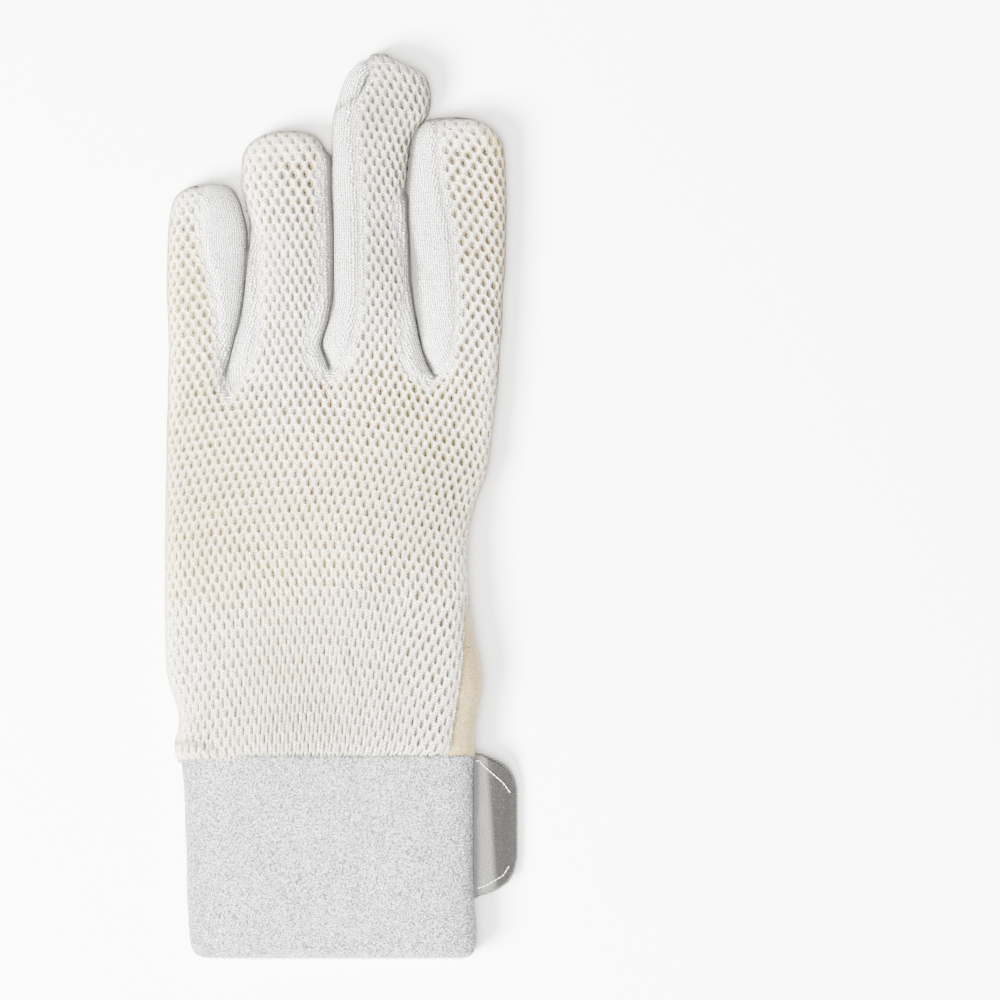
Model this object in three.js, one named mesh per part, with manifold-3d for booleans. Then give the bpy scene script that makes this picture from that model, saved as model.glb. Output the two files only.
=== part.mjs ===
// A left hand inner glove of cotton mesh and leather, lying palm down with its back up.
// Millimetres, +Z up, +Y towards the fingertips, +X towards the thumb side.
// Origin: centre of the glove's box, on the surface that it lies on.
import * as THREE from 'three';
import { mergeVertices } from 'three/addons/utils/BufferGeometryUtils.js';
import Module from 'manifold-3d';

// Driving dimensions
const WALL = 1.3; // mesh, jersey and leather
const CUFF_WALL = 3.0; // towelling, folded double
const GAP = 0.3; // between neighbouring pieces
const SEAM_HEIGHT = 5.0; // the glove is widest here, where its back meets its palm
const FINGER_HEIGHT = 13.0;
const TIP_RADIUS = 8.0; // how far a fingertip takes to reach its full height
const THUMB_HEIGHT = 9.0;
const THUMB_SEAM = 4.0;
const THUMB_TIP_RADIUS = 7.0;
const THUMB_CLEARANCE = 0.4; // between the folded thumb and the palm over it
const CUFF_SEAM = 6.0;
const TAB_THICK = 1.6;
const TAPE_THICK = 1.0;
const TAPE_INSET = 0.8; // the tape's edge inside the tab's
const TAB_MIDDLE = -90; // y across which the tab's two long edges lie
const ABOVE = 40; // higher than anything on the glove
const BESIDE = 80; // further out than anything on the glove
const LEAST_HALF_WIDTH = 0.6; // of a fingertip's first section
const FORK_DIP = 0.6; // how far a strip's round end dips past its last row

// How square a cross section is: 2 is an ellipse, more is boxier
const FINGER_SQUARE = 2.4;
const HAND_SQUARE = 4.0;
const CUFF_SQUARE = 4.6;
const THUMB_SQUARE = 3.0;
const UNDERSIDE_SQUARE = 5.0;
const UNDERSIDE_REACH = 1.12; // past 1, the underside has a true flat

function table(columns, rows) {
  const names = columns.split(' ');
  return rows.map((row) => Object.fromEntries(names.map((name, i) => [name, row[i]])));
}

// Outlines seen from above, one row for each cross section, fingertip or front end first
const LITTLE_FINGER = table('y left right', [
  [89.5, -40.5, -32.6],
  [88.2, -44.1, -30.2],
  [85.5, -46.6, -28.6],
  [81.3, -47.7, -27.3],
  [75.5, -48.3, -26.2],
  [60.5, -48.6, -27.0],
  [52.0, -48.3, -28.4],
  [43.5, -48.0, -30.5],
  [32.0, -48.3, -32.3],
  [29.5, -48.3, -30.4],
  [21.0, -48.3, -26.7],
]);
const RING_FINGER = table('y left right', [
  [104.7, -17.5, -10.8],
  [103.5, -22.0, -7.1],
  [100.7, -25.9, -4.6],
  [96.7, -27.6, -2.7],
  [89.7, -27.7, -2.7],
  [84.0, -26.5, -2.5],
  [75.5, -25.1, -2.0],
  [60.5, -26.5, -2.2],
  [52.0, -27.6, -3.4],
  [45.0, -29.7, -5.3],
  [39.0, -31.1, -3.4],
  [32.0, -32.1, -0.1],
  [21.0, -37.0, 2.7],
]);
const MIDDLE_FINGER = table('y left right', [
  [126.4, 8.8, 12.7],
  [125.0, 7.7, 14.7],
  [123.1, 4.6, 18.9],
  [120.3, 2.2, 23.7],
  [116.9, 0.7, 25.1],
  [113.5, -0.4, 25.5],
  [109.6, -1.5, 24.8],
  [105.7, -2.0, 22.0],
  [100.9, -2.1, 20.0],
  [82.7, -1.8, 18.5],
  [66.0, -1.7, 19.6],
  [57.5, -1.4, 20.0],
  [50.5, -3.2, 21.3],
  [45.0, -4.8, 22.4],
  [39.0, -2.7, 24.2],
  [34.5, -5.5, 27.0],
  [21.0, -9.7, 30.7],
]);
const INDEX_FINGER = table('y left right', [
  [108.5, 27.3, 35.1],
  [107.1, 23.7, 39.9],
  [104.6, 21.8, 43.3],
  [100.7, 20.9, 45.6],
  [94.0, 20.0, 46.3],
  [82.7, 19.2, 46.6],
  [66.0, 20.2, 46.2],
  [57.5, 20.6, 45.5],
  [50.5, 21.7, 45.4],
  [43.5, 23.2, 44.7],
  [37.1, 25.9, 44.1],
  [34.5, 24.2, 44.0],
  [21.0, 19.5, 43.0],
]);
const HAND = table('y left right height', [
  [30.0, -48.3, 43.8, 12.6],
  [21.0, -48.6, 42.7, 13.8],
  [10.0, -48.7, 41.3, 14.9],
  [1.5, -48.9, 38.2, 16.0],
  [-4.0, -48.9, 36.8, 16.8],
  [-11.0, -49.1, 35.8, 17.4],
  [-19.5, -49.1, 35.7, 17.8],
  [-26.5, -49.1, 36.3, 18.0],
  [-33.5, -49.0, 37.2, 18.0],
  [-40.5, -48.9, 38.5, 18.0],
  [-45.5, -48.6, 39.5, 18.0],
  [-50.0, -48.0, 39.9, 18.0],
  [-54.5, -46.5, 39.2, 17.8],
  [-59.5, -45.5, 38.4, 17.6],
  [-63.0, -45.8, 37.8, 17.6],
  [-66.2, -46.6, 37.8, 17.4],
  [-68.7, -46.3, 37.8, 16.8],
  [-70.4, -45.5, 37.7, 15.8],
]);
const THUMB = table('y left right', [
  [6.0, 12.5, 21.5],
  [4.5, 9.0, 25.5],
  [0.5, 6.0, 28.5],
  [-6.0, 4.5, 30.0],
  [-18.0, 4.5, 31.2],
  [-30.0, 5.5, 33.0],
  [-50.0, 7.5, 35.0],
]);
const CUFF = table('y left right height', [
  [-70.7, -44.7, 37.4, 15.2],
  [-75.5, -44.0, 37.2, 15.6],
  [-82.5, -43.5, 37.1, 15.6],
  [-94.0, -43.0, 37.1, 15.4],
  [-110.5, -42.7, 37.4, 15.2],
  [-121.5, -42.1, 38.1, 15.0],
  [-124.7, -41.0, 37.5, 14.6],
  [-126.4, -39.3, 36.2, 13.6],
]);

// Seams between the jersey strips and the mesh: the strip's left and right edges, seen from above
const LITTLE_RING_SEAM = table('y left right', [
  [92.0, -39.6, -29.8],
  [85.5, -39.3, -28.1],
  [82.2, -39.3, -26.5],
  [79.4, -39.2, -24.2],
  [72.9, -38.8, -22.4],
  [66.5, -37.1, -22.3],
  [60.3, -35.7, -22.1],
  [52.0, -34.6, -22.3],
  [43.5, -33.9, -23.4],
  [36.5, -33.6, -26.2],
  [32.3, -33.5, -28.8],
  [29.0, -32.8, -31.5],
]);
const RING_MIDDLE_SEAM = table('y left right', [
  [128.5, 5.5, 10.2],
  [124.2, 3.2, 9.4],
  [120.3, -0.1, 8.3],
  [115.0, -2.1, 6.6],
  [110.7, -2.9, 4.6],
  [105.1, -4.1, 4.3],
  [101.8, -5.2, 4.6],
  [96.7, -5.6, 5.2],
  [74.3, -5.6, 6.2],
  [60.3, -5.7, 5.9],
  [53.3, -7.4, 5.5],
  [47.7, -9.2, 4.6],
  [41.3, -9.4, 2.4],
  [37.1, -7.7, 0.7],
  [34.6, -4.1, -2.1],
]);
const MIDDLE_INDEX_SEAM = table('y left right', [
  [111.5, 25.1, 28.7],
  [108.5, 23.4, 28.1],
  [105.1, 20.9, 28.0],
  [99.5, 18.2, 28.0],
  [91.1, 17.6, 28.6],
  [81.3, 17.1, 30.4],
  [72.9, 16.9, 32.1],
  [61.7, 16.9, 32.8],
  [52.0, 17.2, 32.9],
  [45.0, 17.2, 32.1],
  [39.3, 17.8, 30.7],
  [35.7, 19.7, 28.4],
  [33.2, 23.7, 25.9],
]);
// Where the palm's leather comes up round the thumb side, seen from above
const LEATHER_SEAM = table('y x', [
  [-24.0, 39.0],
  [-26.5, 36.0],
  [-34.9, 34.2],
  [-43.3, 33.7],
  [-54.5, 32.3],
  [-65.7, 30.7],
  [-73.0, 30.0],
]);
// The wrist strap's end, seen from above: straight until it clears the cuff, then round cornered
const TAB_OUTLINE = table('x y', [
  [31.0, -110.4],
  [37.4, -110.2],
  [42.0, -108.2],
  [45.5, -106.2],
  [48.2, -102.8],
  [49.1, -98.5],
  [49.1, -80.0],
  [48.0, -75.8],
  [45.6, -72.9],
  [42.0, -70.4],
  [38.3, -69.8],
  [38.1, -71.0],
  [31.0, -71.2],
]);
// The strap end seen from the cuff's mouth: it leaves the cuff's side and droops to the surface
const TAB_DROOP = table('x top', [
  [31.0, 6.0],
  [39.5, 6.6],
  [42.0, 6.2],
  [44.5, 4.8],
  [47.0, 2.9],
  [49.4, 1.6],
]);

const wasm = await Module();
wasm.setup();

// A solid for joining and cutting, from a closed three.js geometry
function solidOf(geometry) {
  const bare = geometry.clone();
  bare.deleteAttribute('normal');
  bare.deleteAttribute('uv');
  const merged = mergeVertices(bare, 1e-4);
  return new wasm.Manifold(new wasm.Mesh({
    numProp: 3,
    vertProperties: new Float32Array(merged.getAttribute('position').array),
    triVerts: new Uint32Array(merged.getIndex().array),
  }));
}

function geometryOf(solid) {
  const mesh = solid.getMesh();
  const geometry = new THREE.BufferGeometry();
  geometry.setAttribute('position', new THREE.BufferAttribute(mesh.vertProperties, 3));
  geometry.setIndex(new THREE.BufferAttribute(mesh.triVerts, 1));
  geometry.computeVertexNormals();
  return geometry;
}

// A closed skin through rings of equally many points, with a fan over each end
function loft(rings) {
  const count = rings[0].length;
  const positions = rings.flat().flatMap((p) => [p.x, p.y, p.z]);
  const index = [];
  for (let r = 0; r < rings.length - 1; r += 1) {
    for (let i = 0; i < count; i += 1) {
      const a = r * count + i;
      const b = r * count + ((i + 1) % count);
      index.push(a, b, a + count, b, b + count, a + count);
    }
  }
  for (const [start, flip] of [[0, true], [(rings.length - 1) * count, false]]) {
    const ring = rings[start / count];
    const centre = positions.length / 3;
    const mean = ring.reduce((sum, p) => sum.add(p), new THREE.Vector3()).divideScalar(count);
    positions.push(mean.x, mean.y, mean.z);
    for (let i = 0; i < count; i += 1) {
      const a = start + i;
      const b = start + ((i + 1) % count);
      index.push(...(flip ? [centre, b, a] : [centre, a, b]));
    }
  }
  const geometry = new THREE.BufferGeometry();
  geometry.setAttribute('position', new THREE.Float32BufferAttribute(positions, 3));
  geometry.setIndex(index);
  return geometry;
}

// One cross section: a superellipse above the seam height, leaning to its peak, and below the seam
// a squarer one that is cut off flat on the surface.
function section(row, form) {
  const { inset, seam, square, lean, topSteps, underSteps } = form;
  const narrow = Math.min(inset, (row.right - row.left) / 2 - LEAST_HALF_WIDTH);
  const left = row.left + narrow;
  const right = row.right - narrow;
  const peak = left + (right - left) * lean;
  const middle = (left + right) / 2;
  const points = [];
  for (let i = 0; i < topSteps; i += 1) {
    const angle = (Math.PI * i) / topSteps;
    const across = Math.sign(Math.cos(angle)) * Math.abs(Math.cos(angle)) ** (2 / square);
    const up = Math.sin(angle) ** (2 / square);
    const x = across > 0 ? peak + across * (right - peak) : peak + across * (peak - left);
    points.push(new THREE.Vector3(x, row.y, seam + (row.height - seam) * up));
  }
  for (let i = 0; i < underSteps; i += 1) {
    const angle = (Math.PI * i) / underSteps;
    const across = -Math.sign(Math.cos(angle)) * Math.abs(Math.cos(angle)) ** (2 / UNDERSIDE_SQUARE);
    const down = Math.min(1, UNDERSIDE_REACH * Math.sin(angle) ** (2 / UNDERSIDE_SQUARE));
    const x = middle + (across * (right - left)) / 2;
    points.push(new THREE.Vector3(x, row.y, seam - (seam - row.base) * down));
  }
  return points;
}

// A tube lofted through a table's rows, offset inwards by inset, or outwards when that is negative.
// tip rounds its front end in height over that distance, and end is where its last row lies.
function tube(rows, form) {
  const { inset, seam, height, tip, end } = form;
  const first = rows[0].y - inset;
  return solidOf(loft(rows.map((row, i) => {
    const y = i === rows.length - 1 ? end : row.y - inset;
    const reach = tip ? Math.min(1, (first - y + LEAST_HALF_WIDTH) / tip) : 1;
    const full = Math.sqrt(1 - (1 - reach) ** 2);
    const crown = (row.height ?? height) - inset;
    return section({
      y,
      left: row.left,
      right: row.right,
      height: seam + (crown - seam) * full,
      base: seam - (seam - inset) * full,
    }, form);
  })));
}

// A column over an outline seen from above
function column(points, low, high) {
  const shape = new THREE.Shape(points.map(([x, y]) => new THREE.Vector2(x, y)));
  const geometry = new THREE.ExtrudeGeometry(shape, { depth: high - low, bevelEnabled: false });
  geometry.translate(0, 0, low);
  return solidOf(geometry);
}

function joined(solids) {
  return solids.reduce((all, solid) => all.add(solid));
}

const FINGER_FORM = {
  seam: SEAM_HEIGHT,
  height: FINGER_HEIGHT,
  square: FINGER_SQUARE,
  tip: TIP_RADIUS,
  topSteps: 8,
  underSteps: 6,
};
const HAND_FORM = { seam: SEAM_HEIGHT, square: HAND_SQUARE, lean: 0.5, topSteps: 16, underSteps: 10 };
const CUFF_FORM = { seam: CUFF_SEAM, square: CUFF_SQUARE, lean: 0.5, topSteps: 14, underSteps: 10 };
const THUMB_FORM = {
  seam: THUMB_SEAM,
  height: THUMB_HEIGHT,
  square: THUMB_SQUARE,
  lean: 0.5,
  tip: THUMB_TIP_RADIUS,
  topSteps: 8,
  underSteps: 6,
};
// Each finger with its lean: 0.5 peaks midway, more peaks towards the thumb side
const FINGERS = table('rows lean', [
  [LITTLE_FINGER, 0.42],
  [RING_FINGER, 0.5],
  [MIDDLE_FINGER, 0.6],
  [INDEX_FINGER, 0.64],
]);

// The hand and its fingers as one body, offset by inset
function handAndFingers(inset, handEnd) {
  const fingers = FINGERS.map(({ rows, lean }) => (
    tube(rows, { ...FINGER_FORM, lean, inset, end: rows.at(-1).y })
  ));
  const hand = tube(HAND, { ...HAND_FORM, inset, end: handEnd });
  return joined([hand, ...fingers]);
}

function thumbTube(inset, end) {
  return tube(THUMB, { ...THUMB_FORM, inset, end });
}

const thumbBase = THUMB.at(-1).y;
const mouth = HAND.at(-1).y;
const pocket = thumbTube(-THUMB_CLEARANCE, thumbBase - THUMB_CLEARANCE);
const pocketWall = thumbTube(-THUMB_CLEARANCE - WALL, thumbBase - THUMB_CLEARANCE - WALL);
const thumbHollow = thumbTube(WALL, thumbBase - 3 * WALL);
const outside = handAndFingers(0, mouth).subtract(pocket);
const inside = handAndFingers(WALL, mouth - 2 * WALL).subtract(pocketWall);
const skin = outside.subtract(inside).subtract(thumbHollow);

// The region of a jersey strip, made wider by extra on each side
function stripColumn(seam, extra) {
  const down = seam.map(({ y, left }) => [left - extra, y]);
  const up = seam.map(({ y, right }) => [right + extra, y]).reverse();
  const last = seam.at(-1);
  const bottom = [(last.left + last.right) / 2, last.y - FORK_DIP - extra];
  return column([...down, bottom, ...up], SEAM_HEIGHT, ABOVE);
}

function leatherColumn(extra) {
  const edge = LEATHER_SEAM.map(({ x, y }) => [x - extra, y + extra]);
  return column([...edge, [BESIDE, edge.at(-1)[1]], [BESIDE, edge[0][1]]], 0, ABOVE);
}

// Everything between two heights
function layer(low, high) {
  const reach = 2 * BESIDE;
  return column([[-reach, -reach], [reach, -reach], [reach, reach], [-reach, reach]], low, high);
}

const below = layer(-1, SEAM_HEIGHT - GAP);
const above = layer(SEAM_HEIGHT, ABOVE);
const seams = [LITTLE_RING_SEAM, RING_MIDDLE_SEAM, MIDDLE_INDEX_SEAM];
const upper = skin.intersect(above).subtract(pocketWall);

function palmPanel() {
  return skin.intersect(joined([below, pocketWall, leatherColumn(-GAP / 2)]));
}

function backPanel() {
  const taken = joined([...seams.map((seam) => stripColumn(seam, GAP / 2)), leatherColumn(GAP / 2)]);
  return upper.subtract(taken);
}

function jerseyStrip(seam) {
  return upper.intersect(stripColumn(seam, -GAP / 2));
}

function thumb() {
  return thumbTube(0, thumbBase).subtract(thumbHollow);
}

const tabPoints = TAB_OUTLINE.map(({ x, y }) => [x, y]);

function cuffOuter(inset) {
  return tube(CUFF, { ...CUFF_FORM, inset, end: CUFF.at(-1).y });
}

function cuffBand() {
  const lead = { ...CUFF[0], y: CUFF[0].y + 2 * CUFF_WALL };
  const inner = tube([lead, ...CUFF], { ...CUFF_FORM, inset: CUFF_WALL, end: CUFF.at(-1).y - 1 });
  return cuffOuter(0).subtract(inner);
}

// A layer of the strap end, from low above its upper side, over an outline seen from above
function strapLayer(outline, low, thick) {
  const over = TAB_DROOP.map(({ x, top }) => new THREE.Vector2(x, top + low + thick));
  const under = TAB_DROOP.map(({ x, top }) => new THREE.Vector2(x, top + low)).reverse();
  const geometry = new THREE.ExtrudeGeometry(new THREE.Shape([...over, ...under]), {
    depth: BESIDE,
    bevelEnabled: false,
  });
  geometry.rotateX(Math.PI / 2);
  geometry.translate(0, TAB_MIDDLE + BESIDE / 2, 0);
  return solidOf(geometry).intersect(column(outline, -1, ABOVE)).subtract(cuffOuter(-GAP));
}

function closureTab() {
  return strapLayer(tabPoints, -TAB_THICK, TAB_THICK);
}

function hookTape() {
  const inner = tabPoints.map(([x, y]) => (
    [x - TAPE_INSET, y + (y > TAB_MIDDLE ? -TAPE_INSET : TAPE_INSET)]
  ));
  return strapLayer(inner, GAP, TAPE_THICK);
}

// Cloth and leather colours, from the photograph
const COTTON_MESH = { color: 0xf0eee7, roughness: 0.95 };
const JERSEY = { color: 0xecebea, roughness: 0.92 };
const LEATHER = { color: 0xeadfcb, roughness: 0.7 };
const TOWELLING = { color: 0xe5e4e7, roughness: 0.97 };
const STRAP_CLOTH = { color: 0xdedcdc, roughness: 0.9 };
const HOOK_NYLON = { color: 0xa9a7a4, roughness: 0.6 };

const PIECES = table('name solid finish', [
  ['back_panel', backPanel(), COTTON_MESH],
  ['palm_panel', palmPanel(), LEATHER],
  ['fourchette_little_ring', jerseyStrip(LITTLE_RING_SEAM), JERSEY],
  ['fourchette_ring_middle', jerseyStrip(RING_MIDDLE_SEAM), JERSEY],
  ['fourchette_middle_index', jerseyStrip(MIDDLE_INDEX_SEAM), JERSEY],
  ['thumb', thumb(), LEATHER],
  ['cuff_band', cuffBand(), TOWELLING],
  ['closure_tab', closureTab(), STRAP_CLOTH],
  ['hook_tape', hookTape(), HOOK_NYLON],
]);

const glove = new THREE.Group();
for (const { name, solid, finish } of PIECES) {
  const material = new THREE.MeshStandardMaterial({ ...finish, metalness: 0 });
  const mesh = new THREE.Mesh(geometryOf(solid), material);
  mesh.name = name;
  glove.add(mesh);
}

export default glove;
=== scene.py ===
"""A left hand inner glove of cotton mesh, jersey, leather and towelling, lying palm down.

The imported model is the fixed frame, and each piece here is worked out as a surface over it.
Tables and surface functions are in millimetres, and meshes are made in metres.
"""
from functools import partial

import bmesh
import bpy
import numpy as np
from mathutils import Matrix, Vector
from bpy.props import FloatProperty, FloatVectorProperty, IntProperty, PointerProperty


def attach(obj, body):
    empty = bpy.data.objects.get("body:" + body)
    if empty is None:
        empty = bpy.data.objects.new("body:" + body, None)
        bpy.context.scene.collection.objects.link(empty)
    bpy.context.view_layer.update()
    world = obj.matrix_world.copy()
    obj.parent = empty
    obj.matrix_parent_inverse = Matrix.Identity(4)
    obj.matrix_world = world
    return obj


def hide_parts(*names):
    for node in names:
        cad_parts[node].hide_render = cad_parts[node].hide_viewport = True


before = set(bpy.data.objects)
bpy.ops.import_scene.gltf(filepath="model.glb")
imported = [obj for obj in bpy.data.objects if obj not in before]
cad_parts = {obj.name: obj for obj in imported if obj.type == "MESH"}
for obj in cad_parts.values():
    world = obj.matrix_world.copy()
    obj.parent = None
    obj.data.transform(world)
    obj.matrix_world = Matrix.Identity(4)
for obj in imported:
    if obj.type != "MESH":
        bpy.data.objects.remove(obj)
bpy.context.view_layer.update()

bl_info = {
    "name": "Inner Glove",
    "version": (1, 0, 0),
    "blender": (4, 5, 0),
    "location": "3D View > Sidebar > Inner Glove",
    "description": "Builds a mesh backed inner glove over its packed frame",
    "category": "Add Mesh",
}

MM = 0.001

# Shape of the glove, as its solids have it
SEAM = 5.0  # height at which the back meets the palm
FINGER_CROWN = 13.0
TIP_RADIUS = 8.0
FINGER_SQUARE = 2.4
HAND_SQUARE = 4.0
UNDERSIDE_SQUARE = 5.0
UNDERSIDE_REACH = 1.12
THUMB_CROWN = 9.0
THUMB_SEAM = 4.0
THUMB_SQUARE = 3.0
CUFF_SEAM = 6.0
CUFF_SQUARE = 4.6
VALLEY = 2.2  # how softly neighbouring fingers and the hand run together
MOUTH = -70.4  # y where the hand's cloth ends at the cuff
KNUCKLES = 26.0  # y from which the hand's front end falls away under the fingers
KNUCKLE_REACH = 12.0  # how far it takes to be gone
FINGER_ROOT = 18.0  # y at which the fingers' undersides begin

# For the finer pieces alone
FINGER_REACH = 9  # how many mesh columns are tried to each side of a finger's middle
CELL_OVER = 0.4  # how far the mesh's cells may stand over a finger's outline
STRIP_OVER = 2.0  # and how far over its seam with the jersey
PUFF_END = -26.5  # x on whose left the mesh puffs out over the cuff
FAR_BELOW = -50.0  # height given to a place where a finger or the hand isn't
FULL_TURN = 6.2832
COLOUR_MIX = {"output": 2, "data_type": "RGBA"}
ONE_BAND = np.pi / 10  # a wave texture's scale at which it has one band in each unit

# Outlines seen from above: y, left, right
LITTLE_FINGER = np.array([
    [89.5, -40.5, -32.6], [88.2, -44.1, -30.2], [85.5, -46.6, -28.6], [81.3, -47.7, -27.3],
    [75.5, -48.3, -26.2], [60.5, -48.6, -27.0], [52.0, -48.3, -28.4], [43.5, -48.0, -30.5],
    [32.0, -48.3, -32.3], [29.5, -48.3, -30.4], [21.0, -48.3, -26.7],
])
RING_FINGER = np.array([
    [104.7, -17.5, -10.8], [103.5, -22.0, -7.1], [100.7, -25.9, -4.6], [96.7, -27.6, -2.7],
    [89.7, -27.7, -2.7], [84.0, -26.5, -2.5], [75.5, -25.1, -2.0], [60.5, -26.5, -2.2],
    [52.0, -27.6, -3.4], [45.0, -29.7, -5.3], [39.0, -31.1, -3.4], [32.0, -32.1, -0.1],
    [21.0, -37.0, 2.7],
])
MIDDLE_FINGER = np.array([
    [126.3, 8.8, 12.7], [125.0, 7.7, 14.7], [123.1, 4.6, 18.9], [120.3, 2.2, 23.7],
    [116.9, 0.7, 25.1], [113.5, -0.4, 25.5], [109.6, -1.5, 24.8], [105.7, -2.0, 22.0],
    [100.9, -2.1, 20.0], [82.7, -1.8, 18.5], [66.0, -1.7, 19.6], [57.5, -1.4, 20.0],
    [50.5, -3.2, 21.3], [45.0, -4.8, 22.4], [39.0, -2.7, 24.2], [34.5, -5.5, 27.0],
    [21.0, -9.7, 30.7],
])
INDEX_FINGER = np.array([
    [108.5, 27.3, 35.1], [107.1, 23.7, 39.9], [104.6, 21.8, 43.3], [100.7, 20.9, 45.6],
    [94.0, 20.0, 46.3], [82.7, 19.2, 46.6], [66.0, 20.2, 46.2], [57.5, 20.6, 45.5],
    [50.5, 21.7, 45.4], [43.5, 23.2, 44.7], [37.1, 25.9, 44.1], [34.5, 24.2, 44.0],
    [21.0, 19.5, 43.0],
])
# y, left, right, height of the crown
HAND = np.array([
    [48.0, -48.2, 45.3, 12.6], [30.0, -48.3, 43.8, 12.6], [21.0, -48.6, 42.7, 13.8],
    [10.0, -48.7, 41.3, 14.9], [1.5, -48.9, 38.2, 16.0], [-4.0, -48.9, 36.8, 16.8],
    [-11.0, -49.1, 35.8, 17.4], [-19.5, -49.1, 35.7, 17.8], [-26.5, -49.1, 36.3, 18.0],
    [-33.5, -49.0, 37.2, 18.0], [-40.5, -48.9, 38.5, 18.0], [-45.5, -48.6, 39.5, 18.0],
    [-50.0, -47.8, 39.9, 18.0], [-54.5, -46.2, 39.2, 17.8], [-59.5, -45.1, 38.4, 17.6],
    [-63.0, -45.4, 37.8, 17.6], [-66.2, -46.3, 37.8, 17.4], [-68.7, -46.3, 37.8, 16.8],
    [MOUTH, -45.5, 37.7, 15.8],
])
# y, left, right
THUMB = np.array([
    [6.0, 12.5, 21.5], [4.5, 9.0, 25.5], [0.5, 6.0, 28.5], [-6.0, 4.5, 30.0],
    [-18.0, 4.5, 31.2], [-30.0, 5.5, 33.0], [-50.0, 7.5, 35.0],
])
# y, left, right, height of the crown
CUFF = np.array([
    [-70.7, -44.7, 37.4, 15.2], [-75.5, -44.0, 37.2, 15.6], [-82.5, -43.5, 37.1, 15.6],
    [-94.0, -43.0, 37.1, 15.4], [-110.5, -42.7, 37.4, 15.2], [-121.5, -42.1, 38.1, 15.0],
    [-124.7, -41.0, 37.5, 14.6], [-126.4, -39.3, 36.2, 13.6],
])

# Each finger: outline, lean (where its ridge lies across it), y at which its mesh parts from the
# hand's, and from y to y the line that its mesh columns follow and their pitch: y, x, pitch
FINGERS = {
    "little": dict(rows=LITTLE_FINGER, lean=0.42, parts=29.5,
                   axis=np.array([[20, -43.2, 3.1], [92, -43.6, 3.1]])),
    "ring": dict(rows=RING_FINGER, lean=0.5, parts=35.0,
                 axis=np.array([[20, -15.5, 2.6], [50, -14.6, 2.45], [78, -14.4, 2.6],
                                [92, -14.6, 3.2], [108, -15.0, 3.2]])),
    "middle": dict(rows=MIDDLE_FINGER, lean=0.6, parts=35.2,
                   axis=np.array([[20, 11.0, 2.8], [60, 11.6, 2.55], [95, 12.0, 2.6],
                                  [112, 13.0, 2.7], [127, 11.5, 2.7]])),
    "index": dict(rows=INDEX_FINGER, lean=0.64, parts=33.8,
                  axis=np.array([[20, 37.5, 2.9], [60, 39.2, 2.9], [80, 38.6, 3.0],
                                 [110, 37.6, 3.3]])),
}

# How steeply the rows of mesh holes come down towards the right: x, slope
ROW_SLOPES = np.array([
    [-49.0, -0.13], [-39.0, -0.15], [-28.0, -0.08], [-17.0, -0.05], [-9.0, 0.0], [3.0, 0.09],
    [12.5, 0.16], [28.0, 0.25], [47.0, 0.28],
])

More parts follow.
